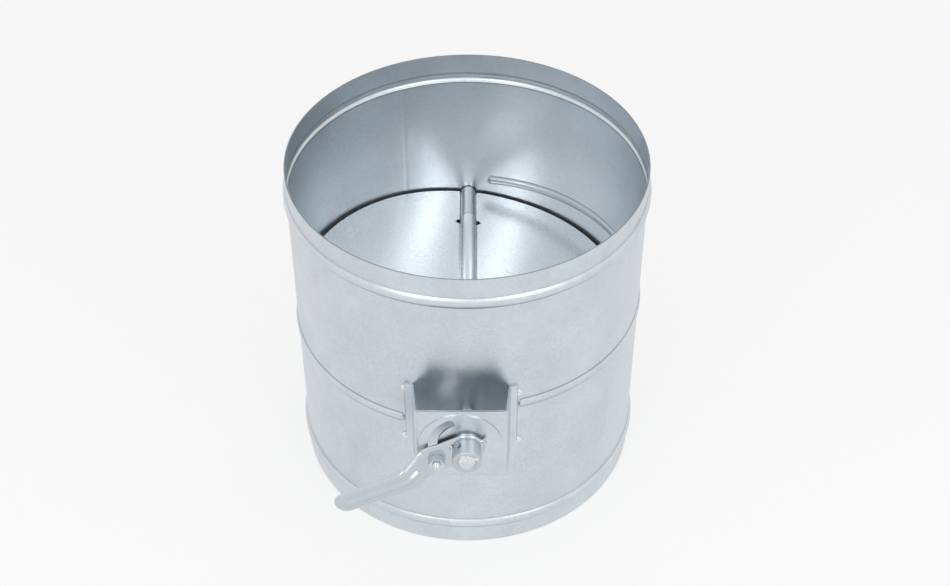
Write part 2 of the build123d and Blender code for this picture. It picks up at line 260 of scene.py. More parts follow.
def grain_group() -> bpy.types.NodeTree:
    """Fine drawn or turned lines along one axis of the vector.

    Returns:
        Group with Shade and Height outputs.
    """
    inputs = {"Lines": 1500.0, "Length": 0.03, "Contrast": 0.1}
    tree, graph, given, out = effect_group("Drawn grain", inputs, ["Shade", "Height"])
    take = given.outputs
    long = graph.math("MULTIPLY", take["Lines"], take["Length"])
    scale = graph.node("ShaderNodeCombineXYZ", {0: take["Lines"], 1: long, 2: take["Lines"]}).outputs[0]
    stretched = graph.node("ShaderNodeVectorMath", {0: take["Vector"], 1: scale}, operation="MULTIPLY").outputs[0]
    lines = graph.noise(stretched, 1.0, {"Detail": 3.0, "Roughness": 0.65})
    centred = graph.math("SUBTRACT", lines, 0.5)
    graph.wire(out.inputs["Shade"], graph.math("MULTIPLY_ADD", centred, take["Contrast"], 1.0))
    graph.wire(out.inputs["Height"], lines)
    return tree


def handling_group() -> bpy.types.NodeTree:
    """Dust and finger smudges that dull a surface in soft patches.

    Returns:
        Group with a Mask output.
    """
    tree, graph, given, out = effect_group("Handling marks", {"Size": 18.0, "Amount": 0.3}, ["Mask"])
    take = given.outputs
    cloud = graph.noise(take["Vector"], take["Size"], {"Detail": 5.0, "Roughness": 0.7, "Distortion": 0.6})
    graph.wire(out.inputs["Mask"], graph.math("MULTIPLY", graph.ramp(cloud, 0.48, 0.68), take["Amount"]))
    return tree


@dataclass(frozen=True)
class MetalFinish:
    """One metal finish, with its colour, gloss and surface detail.

    Attributes:
        name: Finish name.
        colour: Reflected colour.
        roughness: Middle roughness.
        crystal: Zinc crystals per metre.
        crystal_contrast: How far crystals differ.
        blotch: Soft patches per metre.
        blotch_contrast: How far patches differ.
        speck: Specks per metre.
        speck_depth: How dark specks are.
        lines: Drawn lines per metre.
        line_contrast: How far lines differ.
        smudge: Amount of dulling.
        bump: Height of the surface detail in metres.
        shows_crease_shade: Whether painted shade is laid along the mesh's painted_crease_shade attribute.
        edge_and_shade_lines: Dark lines, each as the axis that it lies across, its place and its half width: bare cut
            edges of the sheet, or painted shade along a crevice between parts.
        edge_and_shade_depth: How dark a cut edge or a line of painted shade is.
        edge_and_shade_fade: Width over which a cut edge's line or a painted shade line fades out.
    """

    name: str
    colour: Triple
    roughness: float
    crystal: float = 420.0
    crystal_contrast: float = 0.05
    blotch: float = 26.0
    blotch_contrast: float = 0.12
    speck: float = 1100.0
    speck_depth: float = 0.1
    lines: float = 1500.0
    line_contrast: float = 0.05
    smudge: float = 0.15
    bump: float = 0.00002
    shows_crease_shade: bool = False
    edge_and_shade_lines: tuple[tuple[int, float, float], ...] = ()
    edge_and_shade_depth: float = 0.45
    edge_and_shade_fade: float = 0.00008

    def material(self, groups: dict[str, bpy.types.NodeTree]) -> bpy.types.Material:
        """Build the finish's material.

        Args:
            groups: Shared effect groups by name.

        Returns:
            The material.
        """
        made = bpy.data.materials.new(self.name)
        made.use_nodes = True
        graph = Graph(made.node_tree)
        shader = made.node_tree.nodes["Principled BSDF"]
        shader.inputs["Metallic"].default_value = 1.0
        place = graph.node("ShaderNodeTexCoord").outputs["Object"]
        spangle = graph.node("ShaderNodeGroup", node_tree=groups["spangle"])
        grain = graph.node("ShaderNodeGroup", node_tree=groups["grain"])
        marks = graph.node("ShaderNodeGroup", node_tree=groups["marks"])
        for group in (spangle, grain, marks):
            graph.wire(group.inputs["Vector"], place)
        wanted = {
            "Crystal": self.crystal,
            "Crystal Contrast": self.crystal_contrast,
            "Blotch": self.blotch,
            "Blotch Contrast": self.blotch_contrast,
            "Speck": self.speck,
            "Speck Depth": self.speck_depth,
        }
        for label, value in wanted.items():
            spangle.inputs[label].default_value = value
        grain.inputs["Lines"].default_value = self.lines
        grain.inputs["Contrast"].default_value = self.line_contrast
        marks.inputs["Amount"].default_value = self.smudge
        shade = graph.math("MULTIPLY", spangle.outputs["Shade"], grain.outputs["Shade"])
        shade = graph.math("MULTIPLY", shade, graph.math("MULTIPLY_ADD", marks.outputs["Mask"], -0.25, 1.0))
        # Painted shade in creases and along crevices, and bare cut edges, darken the colour here.
        edge = self.edge_and_shade_mask(graph, place)
        shade = graph.math("MULTIPLY", shade, graph.math("MULTIPLY_ADD", edge, -self.edge_and_shade_depth, 1.0))
        tint = graph.node("ShaderNodeVectorMath", {0: self.colour, "Scale": shade}, operation="SCALE").outputs[0]
        graph.wire(shader.inputs["Base Color"], tint)
        dulled = graph.math("MULTIPLY", marks.outputs["Mask"], 0.25)
        rough = graph.total(self.roughness, spangle.outputs["Gloss"], dulled)
        graph.wire(shader.inputs["Roughness"], graph.math("MAXIMUM", rough, 0.08))
        height = graph.total(spangle.outputs["Height"], graph.math("MULTIPLY", grain.outputs["Height"], 0.5))
        bump = graph.node("ShaderNodeBump", {"Strength": 1.0, "Distance": self.bump, "Height": height})
        graph.wire(shader.inputs["Normal"], bump.outputs["Normal"])
        return made

    def edge_and_shade_mask(self, graph: Graph, place: bpy.types.NodeSocket) -> bpy.types.NodeSocket | float:
        """Mask the painted shade in creases, the cut edges of the sheet and the painted shade lines along crevices.

        Args:
            graph: Graph of the material.
            place: Object coordinates.

        Returns:
            Mask from 0 to 1, or plain 0 where nothing is marked.
        """
        mask = 0.0
        if self.shows_crease_shade:
            mask = graph.node("ShaderNodeAttribute", attribute_name="painted_crease_shade").outputs["Fac"]
        axes = graph.node("ShaderNodeSeparateXYZ", {0: place}).outputs
        for axis, spot, half in self.edge_and_shade_lines:
            away = graph.math("ABSOLUTE", graph.math("SUBTRACT", axes[axis], spot))
            mask = graph.math("MAXIMUM", mask, graph.ramp(away, half, half + self.edge_and_shade_fade, 1.0, 0.0))
        return mask


def closed(mesh: bpy.types.Mesh) -> bpy.types.Mesh:
    """Merge a mesh's doubles and point its faces outwards.

    Args:
        mesh: Closed mesh.

    Returns:
        The same mesh.
    """
    work = bmesh.new()
    work.from_mesh(mesh)
    bmesh.ops.remove_doubles(work, verts=work.verts, dist=1e-6)
    bmesh.ops.recalc_face_normals(work, faces=work.faces)
    work.to_mesh(mesh)
    work.free()
    return mesh


def lofted(name: str, rings: list[list[Triple]], looped: bool = False) -> bpy.types.Mesh:
    """Skin a closed surface over rings of points.

    Args:
        name: Mesh name.
        rings: Rings of equally many points, in order.
        looped: Whether the last ring joins the first, instead of both being capped.

    Returns:
        The closed mesh.
    """
    count = len(rings[0])
    last = len(rings) - 1
    faces = []
    for row in range(last + 1 if looped else last):
        near, far = row * count, (row + 1) % len(rings) * count
        for spot in range(count):
            after = (spot + 1) % count
            faces.append((near + spot, near + after, far + after, far + spot))
    if not looped:
        faces.append(tuple(range(count))[::-1])
        faces.append(tuple(range(last * count, (last + 1) * count)))
    mesh = bpy.data.meshes.new(name)
    mesh.from_pydata([point for ring in rings for point in ring], [], faces)
    return closed(mesh)


def softened(corners: list[tuple[float, float, float]], steps: int = 5) -> list[tuple[float, float]]:
    """Round the corners of a closed outline.

    Args:
        corners: Two coordinates and the rounding of each corner.
        steps: Points in each rounding.

    Returns:
        Points of the rounded outline.
    """
    points = []
    for spot, (x, y, size) in enumerate(corners):
        if not size:
            points.append((x, y))
            continue
        here = Vector((x, y))
        ways = [Vector(corners[(spot + turn) % len(corners)][:2]) - here for turn in (-1, 1)]
        start, end = (here + way.normalized() * min(size, way.length / 2) for way in ways)
        for step in range(steps + 1):
            share = step / steps
            point = start * (1 - share) ** 2 + here * 2 * share * (1 - share) + end * share**2
            points.append((point.x, point.y))
    return points


def turned(name: str, outline: list[tuple[float, float]], looped: bool = True, steps: int = 96) -> bpy.types.Mesh:
    """Turn an outline about the shaft's axis.

    Args:
        name: Mesh name.
        outline: Depth in front of the duct's axis and radius of each point.
        looped: Whether the outline is a closed loop off the axis.
        steps: Points round the shaft.

    Returns:
        The closed mesh.
    """
    angles = [tau * step / steps for step in range(steps)]
    rings = [
        [(reach * cos(angle), -depth, SHAFT_HEIGHT + reach * sin(angle)) for angle in angles]
        for depth, reach in outline
    ]
    return lofted(name, rings, looped)


def drilled(mesh: bpy.types.Mesh, holes: list[tuple[Triple, Triple, float, float]]) -> bpy.types.Mesh:
    """Cut round holes through a closed mesh.

    Args:
        mesh: Closed mesh.
        holes: Centre, direction, radius and length of each hole.

    Returns:
        The drilled mesh.
    """
    scene = bpy.context.scene.collection.objects
    target = bpy.data.objects.new("target", mesh)
    scene.link(target)
    drills = []
    for centre, way, radius, length in holes:
        work = bmesh.new()
        turn = Vector(way).to_track_quat("Z", "Y").to_matrix().to_4x4()
        place = Matrix.Translation(centre) @ turn
        bmesh.ops.create_cone(
            work, cap_ends=True, segments=64, radius1=radius, radius2=radius, depth=length, matrix=place
        )
        shape = bpy.data.meshes.new("drill")
        work.to_mesh(shape)
        work.free()
        drill = bpy.data.objects.new("drill", shape)
        scene.link(drill)
        drills.append(drill)
        modifier = target.modifiers.new("hole", "BOOLEAN")
        modifier.operation, modifier.solver, modifier.object = "DIFFERENCE", "EXACT", drill
    bpy.context.view_layer.update()
    cut = bpy.data.meshes.new_from_object(target.evaluated_get(bpy.context.evaluated_depsgraph_get()))
    for done in (target, *drills):
        bpy.data.objects.remove(done)
    return cut


def shell(
    name: str,
    mesh: bpy.types.Mesh,
    body: Body,
    material: bpy.types.Material,
    replaced: tuple[str, ...] = (),
    sharp: float = 35.0,
) -> bpy.types.Object:
    """Make a finished piece out of a mesh that stands in its place.

    Args:
        name: Piece name.
        mesh: Mesh in the damper's frame.
        body: Body that it rides on.
        material: Its material.
        replaced: Nodes that it stands for.
        sharp: Angle in degrees past which an edge stays sharp.

    Returns:
        The piece.
    """
    closed(mesh)
    mesh.shade_smooth()
    mesh.set_sharp_from_angle(angle=radians(sharp))
    mesh.materials.clear()
    mesh.materials.append(material)
    piece = bpy.data.objects.new(name, mesh)
    bpy.context.scene.collection.objects.link(piece)
    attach(piece, body.value)
    if replaced:
        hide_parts(*replaced)
    log.info("%s: %d faces on %s", name, len(mesh.polygons), body.value)
    return piece


def evaluated_mesh(
    tree: bpy.types.NodeTree, inputs: dict[str, object], start: bpy.types.Mesh | None = None
) -> bpy.types.Mesh:
    """Run a geometry tree and return its result as a plain mesh.

    Args:
        tree: Geometry node tree.
        inputs: Input names and values.
        start: Mesh that the tree starts from, if it needs one.

    Returns:
        The mesh.
    """
    carrier = bpy.data.objects.new("carrier", start or bpy.data.meshes.new("carrier"))
    bpy.context.scene.collection.objects.link(carrier)
    modifier = carrier.modifiers.new("rule", "NODES")
    modifier.node_group = tree
    for item in tree.interface.items_tree:
        if item.item_type == "SOCKET" and item.in_out == "INPUT" and item.name in inputs:
            modifier[item.identifier] = inputs[item.name]
    bpy.context.view_layer.update()
    seen = carrier.evaluated_get(bpy.context.evaluated_depsgraph_get())
    mesh = bpy.data.meshes.new_from_object(seen)
    carrier.modifiers.remove(modifier)
    bpy.data.objects.remove(carrier)
    return mesh


def row_spread(
    length: float, zones: list[tuple[float, float]], coarse: float, fine: float
) -> tuple[list[tuple[float, float]], int]:
    """Spread mesh rows so that they lie close in some zones and far apart elsewhere.

    Args:
        length: Whole length.
        zones: Start and end of each fine zone, in order.
        coarse: Row step outside the zones.
        fine: Row step inside them.

    Returns:
        Points that map a share of the rows to a share of the length, and the number of rows.
    """
    marks, rows, place = [(0.0, 0.0)], 0.0, 0.0
    for start, end in [*zones, (length, length)]:
        rows += (start - place) / coarse
        marks.append((rows, start))
        rows += (end - start) / fine
        marks.append((rows, end))
        place = end
    return [(row / rows, spot / length) for row, spot in marks[:-1]], round(rows)


@dataclass
class CasingShell:
    """The rolled tube with its end beads, half beads and seam.

    Attributes:
        radius: Outside radius.
        height: Height of the tube.
        sheet: Sheet thickness.
        end_width: Width of an end bead.
        end_rise: Height of an end bead.
        end_inset: Distance of an end bead from its rim.
        mid_width: Width of a half bead.
        mid_rise: Height of a half bead.
        end_squareness: How much more abrupt a half bead's end is than its sides.
        right_level: Height of the right half bead.
        left_level: Height of the left half bead.
        right_span: Azimuths of the right half bead in degrees.
        left_span: Azimuths of the left half bead in degrees.
        seam_azimuth: Azimuth of the seam in degrees.
        seam_width: Width of the seam.
        seam_rise: Height of the seam.
        wave: Waviness of the sheet.
        hole: Radius of the bush holes.
        start: Azimuth where the mesh's first and last columns meet, clear of every bead's end.
        painted_crease_shade: Half width of the painted shade line along a bead's foot.
        flank: Distances from an end bead's middle line where the painted shade on its lower side starts and ends.
    """

    radius: float = 0.125
    height: float = 0.257
    sheet: float = 0.0008
    end_width: float = 0.0084
    end_rise: float = 0.0022
    end_inset: float = 0.02
    mid_width: float = 0.0074
    mid_rise: float = 0.0013
    end_squareness: float = 1.8
    right_level: float = 0.1405
    left_level: float = 0.124
    right_span: tuple[float, float] = (-73.8, 82.7)
    left_span: tuple[float, float] = (97.3, 250.0)
    seam_azimuth: float = 113.0
    seam_width: float = 0.0016
    seam_rise: float = 0.00012
    wave: float = 0.00012
    hole: float = 0.00705
    start: float = -100.0
    painted_crease_shade: float = 0.0009
    flank: tuple[float, float] = (0.0012, 0.0052)

    def tree(self, material: bpy.types.Material) -> tuple[bpy.types.NodeTree, dict[str, object]]:
        """Build the geometry tree that rolls and beads the tube, and marks where its painted shade lies.

        Args:
            material: Sheet material.

        Returns:
            The tree and the values of its inputs.
        """
        around, columns = row_spread(tau * self.radius, self.fine_columns(), 0.0052, 0.001)
        along, rows = row_spread(self.height, self.fine_rows(), 0.0055, 0.00045)
        values = {
            "Radius": self.radius,
            "Height": self.height,
            "Sheet": self.sheet,
            "End bead width": self.end_width,
            "End bead rise": self.end_rise,
            "End bead inset": self.end_inset,
            "Mid bead width": self.mid_width,
            "Mid bead rise": self.mid_rise,
            "Right bead level": self.right_level,
            "Left bead level": self.left_level,
            "Seam rise": self.seam_rise,
            "Wave": self.wave,
            "Crease": self.painted_crease_shade,
            "Columns": columns,
            "Rows": rows,
            "Seed": 7,
            "Material": material,
        }
        tree = bpy.data.node_groups.new("Rolled tube", "GeometryNodeTree")
        tree.interface.new_socket("Geometry", in_out="OUTPUT", socket_type="NodeSocketGeometry")
        kinds = {int: "NodeSocketInt", float: "NodeSocketFloat"}
        for label, value in values.items():
            tree.interface.new_socket(label, in_out="INPUT", socket_type=kinds.get(type(value), "NodeSocketMaterial"))
        graph = Graph(tree)
        take = graph.node("NodeGroupInput").outputs
        across = graph.math("ADD", take["Columns"], 1.0)
        whole = graph.math("MULTIPLY", take["Rows"], 2.0)
        counts = {"Vertices X": across, "Vertices Y": graph.math("ADD", whole, 1.0)}
        grid = graph.node("GeometryNodeMeshGrid", {"Size X": 1.0, "Size Y": 1.0, **counts})
        spot = graph.node("ShaderNodeSeparateXYZ", {0: graph.node("GeometryNodeInputPosition").outputs[0]}).outputs
        turn = graph.math("ADD", spot[0], 0.5)
        step = graph.math("ROUND", graph.math("MULTIPLY", graph.math("ADD", spot[1], 0.5), whole))
        step = graph.math("FLOORED_MODULO", step, whole)
        last = graph.math("SUBTRACT", take["Rows"], 1.0)
        inside = graph.math("GREATER_THAN", step, graph.math("SUBTRACT", take["Rows"], 0.5))
        back = graph.math("SUBTRACT", graph.math("SUBTRACT", whole, 1.0), step)
        climb = graph.math("DIVIDE", self.choose(graph, inside, step, back), last)
        azimuth = graph.math("MULTIPLY_ADD", self.curve(graph, turn, around), tau, radians(self.start))
        level = graph.math("MULTIPLY", self.curve(graph, climb, along), take["Height"])
        wall = graph.math("MULTIPLY", inside, take["Sheet"])
        low = graph.math("SUBTRACT", level, take["End bead inset"])
        high = graph.math("SUBTRACT", graph.math("SUBTRACT", take["Height"], take["End bead inset"]), level)
        near = graph.math("MINIMUM", graph.math("ABSOLUTE", low), graph.math("ABSOLUTE", high))
        bulge = self.bead(graph, near, take["End bead width"], take["End bead rise"], wall, 0.0004)
        lower = graph.math("LESS_THAN", level, 0.1)
        under = graph.math("LESS_THAN", self.choose(graph, lower, graph.math("MULTIPLY", high, -1.0), low), 0.0)
        # Painted shade: a dark line along each bead's foot, weaker on the upper foot outside, and a darker lower flank
        # on the outside of the end beads. It is stored as an attribute that the sheet's material darkens by.
        painted_crease_shade = self.foot_shade_line(graph, near, take["End bead width"], take["Crease"])
        foot = graph.math("MULTIPLY", take["End bead width"], 0.5)
        fade_in = graph.ramp(near, self.flank[0], foot, 0.0, 1.0)
        flank = graph.math("MULTIPLY", fade_in, graph.ramp(near, foot, self.flank[1], 1.0, 0.0))
        outside = graph.math("SUBTRACT", 1.0, inside)
        low_side = graph.math("MULTIPLY", outside, under)
        high_side = graph.math("MULTIPLY", outside, graph.math("SUBTRACT", 1.0, under))
        painted_crease_shade = graph.math("MULTIPLY", painted_crease_shade, graph.math("MULTIPLY_ADD", high_side, -0.55, 1.0))
        painted_crease_shade = graph.math("MAXIMUM", painted_crease_shade, graph.math("MULTIPLY", flank, low_side))
        for label, span in (("Right bead level", self.right_span), ("Left bead level", self.left_span)):
            rise = graph.math("SUBTRACT", level, take[label])
            arc = graph.math("MULTIPLY", azimuth, take["Radius"])
            half = graph.math("MULTIPLY", take["Mid bead width"], 0.5 / self.end_squareness)
            before = graph.math("SUBTRACT", graph.math("ADD", half, radians(span[0]) * self.radius), arc)
            after = graph.math("SUBTRACT", arc, graph.math("SUBTRACT", radians(span[1]) * self.radius, half))
            past = graph.math("MAXIMUM", graph.math("MAXIMUM", before, after), 0.0)
            beyond = graph.math("MULTIPLY", past, self.end_squareness)
            away = graph.math("SQRT", graph.total(graph.math("POWER", rise, 2.0), graph.math("POWER", beyond, 2.0)))
            raised = self.bead(graph, away, take["Mid bead width"], take["Mid bead rise"], wall, 0.0003)
            bulge = graph.math("ADD", bulge, raised)
            painted_crease_shade = graph.math("MAXIMUM", painted_crease_shade, self.foot_shade_line(graph, away, take["Mid bead width"], take["Crease"]))
        offset = graph.math("ABSOLUTE", graph.math("SUBTRACT", azimuth, radians(self.seam_azimuth)))
        ridge = graph.ramp(offset, 0.0, self.seam_width / self.radius, take["Seam rise"], 0.0)
        side = graph.math("MULTIPLY_ADD", inside, -2.0, 1.0)
        way = (graph.math("COSINE", azimuth), graph.math("SINE", azimuth))
        high_up = graph.math("MULTIPLY", level, 5.0)
        ring = graph.node("ShaderNodeCombineXYZ", {0: way[0], 1: way[1], 2: high_up}).outputs[0]
        noise = graph.noise(ring, 1.6, {"Detail": 1.5}, take["Seed"])
        swell = graph.math("MULTIPLY", graph.math("SUBTRACT", noise, 0.5), graph.math("MULTIPLY", take["Wave"], 2.0))
        face = graph.math("SUBTRACT", take["Radius"], wall)
        reach = graph.total(face, bulge, swell, graph.math("MULTIPLY", ridge, side))
        out = [graph.math("MULTIPLY", axis, reach) for axis in way]
        place = graph.node("ShaderNodeCombineXYZ", {0: out[0], 1: out[1], 2: level}).outputs[0]
        marks = {"Geometry": grid.outputs["Mesh"], "Name": "painted_crease_shade", "Value": painted_crease_shade}
        kept = {"data_type": "FLOAT", "domain": "POINT"}
        marked = graph.node("GeometryNodeStoreNamedAttribute", marks, **kept).outputs[0]
        rolled = graph.node("GeometryNodeSetPosition", {"Geometry": marked, "Position": place}).outputs[0]
        closed = graph.node("GeometryNodeMergeByDistance", {"Geometry": rolled, "Distance": 0.00001}).outputs[0]
        real = graph.node("GeometryNodeRealizeInstances", {0: closed}).outputs[0]
        dressed = graph.node("GeometryNodeSetMaterial", {"Geometry": real, "Material": take["Material"]}).outputs[0]
        graph.node("NodeGroupOutput", {0: dressed})
        return tree, values

    def fine_columns(self) -> list[tuple[float, float]]:
        """Arc lengths round the tube where the mesh needs narrow columns.

        Returns:
            Start and end of each stretch.
        """
        spots = [(spot, 0.007) for spot in (*self.right_span, *self.left_span)]
        spots += [(self.seam_azimuth, 0.003), (-90.0, 0.0095), (90.0, 0.0085)]
        zones = sorted((radians(spot - self.start) * self.radius, half) for spot, half in spots)
        return [(spot - half, spot + half) for spot, half in zones]

    def fine_rows(self) -> list[tuple[float, float]]:
        """Heights where the mesh needs narrow rows.

        Returns:
            Start and end of each stretch.
        """
        ends = [(level, 0.0066) for level in (self.end_inset, self.height - self.end_inset)]
        mids = [(level, 0.005) for level in (self.left_level, self.right_level)]
        return [(level - half, level + half) for level, half in sorted(ends + mids)]

    @staticmethod
    def choose(graph: Graph, pick: object, no: object, yes: object) -> bpy.types.NodeSocket:
        """Blend two values by a switch of 0 or 1.

        Args:
            graph: Graph to add to.
            pick: Switch.
            no: Value at 0.
            yes: Value at 1.

        Returns:
            The chosen value.
        """
        return graph.math("MULTIPLY_ADD", graph.math("SUBTRACT", yes, no), pick, no)

    @staticmethod
    def curve(graph: Graph, value: object, points: list[tuple[float, float]]) -> bpy.types.NodeSocket:
        """Map a value through a run of straight pieces.

        Args:
            graph: Graph to add to.
            value: Value from 0 to 1.
            points: Corners of the run.

        Returns:
            The mapped value.
        """
        node = graph.node("ShaderNodeFloatCurve", {"Value": value})
        line = node.mapping.curves[0]
        for place in points[1:-1]:
            line.points.new(*place)
        for point in line.points:
            point.handle_type = "VECTOR"
        node.mapping.update()
        return node.outputs[0]

    @staticmethod
    def bead(
        graph: Graph, distance: object, width: object, rise: object, wall: object, blend: float
    ) -> bpy.types.NodeSocket:
        """Height of a rolled bead at a distance from its middle line.

        Args:
            graph: Graph to add to.
            distance: Distance from the middle line.
            width: Bead width.
            rise: Bead height.
            wall: How far inside the outer face the surface lies.
            blend: Softness of the bead's foot.

        Returns:
            The height.
        """
        share = graph.math("DIVIDE", graph.math("POWER", width, 2.0), graph.math("MULTIPLY", rise, 8.0))
        round_ = graph.math("SUBTRACT", graph.math("ADD", share, graph.math("MULTIPLY", rise, 0.5)), wall)
        under = graph.math("SUBTRACT", graph.math("POWER", round_, 2.0), graph.math("POWER", distance, 2.0))
        arc = graph.math("SQRT", graph.math("MAXIMUM", under, 0.0))
        height = graph.math("SUBTRACT", arc, graph.math("SUBTRACT", round_, rise))
        return graph.math("SMOOTH_MAX", height, 0.0, blend)

    @staticmethod
    def foot_shade_line(graph: Graph, distance: object, width: object, reach: object) -> bpy.types.NodeSocket:
        """Mask of the painted shade along the line where a bead's side meets the wall.

        Args:
            graph: Graph to add to.
            distance: Distance from the bead's middle line.
            width: Bead width.
            reach: Half width of the line.

        Returns:
            Mask from 0 to 1.
        """
        away = graph.math("ABSOLUTE", graph.math("SUBTRACT", distance, graph.math("MULTIPLY", width, 0.5)))
        return graph.ramp(away, 0.0, reach, 1.0, 0.0)

    def build(self, material: bpy.types.Material) -> None:
        """Make the tube, with its bush holes, in place of the casing node.

        Args:
            material: Sheet material.
        """
        tree, values = self.tree(material)
        mesh = closed(evaluated_mesh(tree, values))
        mesh = drilled(mesh, [((0.0, 0.0, SHAFT_HEIGHT), (0.0, 1.0, 0.0), self.hole, 4 * self.radius)])
        shell("casing_tube", mesh, Body.CASING, material, ("casing",))


@dataclass
class Bearings:
    """Shaft, its hub and the bushes in the casing's walls.

    Attributes:
        shaft_radius: Radius of the shaft.
        shaft_span: Depths of the shaft's rear and front ends.
        groove: Depths of the clip's groove and its radius.
        bore: Radius of the bushes' bore.
        lip: Outside radius of the bushes' lip inside the duct.
        flange: Radius of the bushes' flange.
        wall_depths: Depths of the lip, the flange's back and its front.
        hub_radius: Radius of the hub.
        hub_depths: Depths of the hub's back and front.
        pin_hole: Depth of the pin hole, its angle about the shaft in degrees and its radius.
    """

    shaft_radius: float = 0.006
    shaft_span: tuple[float, float] = (-0.1318, 0.1634)
    groove: Triple = (-0.1293, -0.1282, 0.0052)
    bore: float = 0.00608
    lip: float = 0.0070
    flange: float = 0.01
    wall_depths: Triple = (0.1227, 0.12505, 0.12705)
    hub_radius: float = 0.0098
    hub_depths: tuple[float, float] = (0.151, 0.16345)
    pin_hole: Triple = (0.1556, 124.0, 0.00225)

    def bush(self, side: int) -> bpy.types.Mesh:
        """Make a wall bush with a lip that opens round the shaft.

        Args:
            side: 1 for the front wall and -1 for the rear one.

        Returns:
            The bush's mesh.
        """
        inner, seat, outer = self.wall_depths
        corners = [
            (inner + 0.0011, self.bore, 0.0),
            (inner + 0.0002, self.bore + 0.00045, 0.0002),
            (inner, self.lip, 0.0004),
            (seat, self.lip, 0.0),
            (seat, self.flange, 0.0002),
            (outer, self.flange, 0.0006),
            (outer, self.bore, 0.0003),
        ]
        return turned("bush", [(side * depth, reach) for depth, reach in softened(corners)])

    def shaft(self) -> bpy.types.Mesh:
        """Make the shaft with its clip groove and softened ends.

        Returns:
            The shaft's mesh.
        """
        rear, front = self.shaft_span
        start, end, floor = self.groove
        reach = self.shaft_radius
        corners = [
            (rear, 0.0, 0.0),
            (rear, reach, 0.0011),
            (start, reach, 0.0001),
            (start, floor, 0.0001),
            (end, floor, 0.0001),
            (end, reach, 0.0001),
            (front, reach, 0.0006),
            (front, 0.0, 0.0),
        ]
        return turned("shaft", softened(corners), looped=False)

    def hub(self) -> bpy.types.Mesh:
        """Make the hub with a softened front edge and its pin hole.

        Returns:
            The hub's mesh.
        """
        back, front = self.hub_depths
        inner = self.shaft_radius + 0.00005
        corners = [
            (back, inner, 0.0),
            (back, self.hub_radius, 0.0002),
            (front, self.hub_radius, 0.0009),
            (front, inner, 0.0006),
        ]
        depth, angle, reach = self.pin_hole
        way = (cos(radians(angle)), 0.0, sin(radians(angle)))
        return drilled(turned("hub", softened(corners)), [((0.0, -depth, SHAFT_HEIGHT), way, reach, 0.03)])

    def build(self, steel: bpy.types.Material, bush: bpy.types.Material, zinc: bpy.types.Material) -> None:
        """Make the shaft, the hub and both wall bushes.

        Args:
            steel: Shaft material.
            bush: Bush material.
            zinc: Hub material.
        """
        shell("drawn_shaft", self.shaft(), Body.BLADE, steel, ("shaft",))
        shell("turned_hub", self.hub(), Body.BLADE, zinc, ("hub",))
        shell("front_wall_bush", self.bush(1), Body.CASING, bush, ("front_bush",))
        shell("rear_wall_bush", self.bush(-1), Body.CASING, bush, ("rear_bush",))


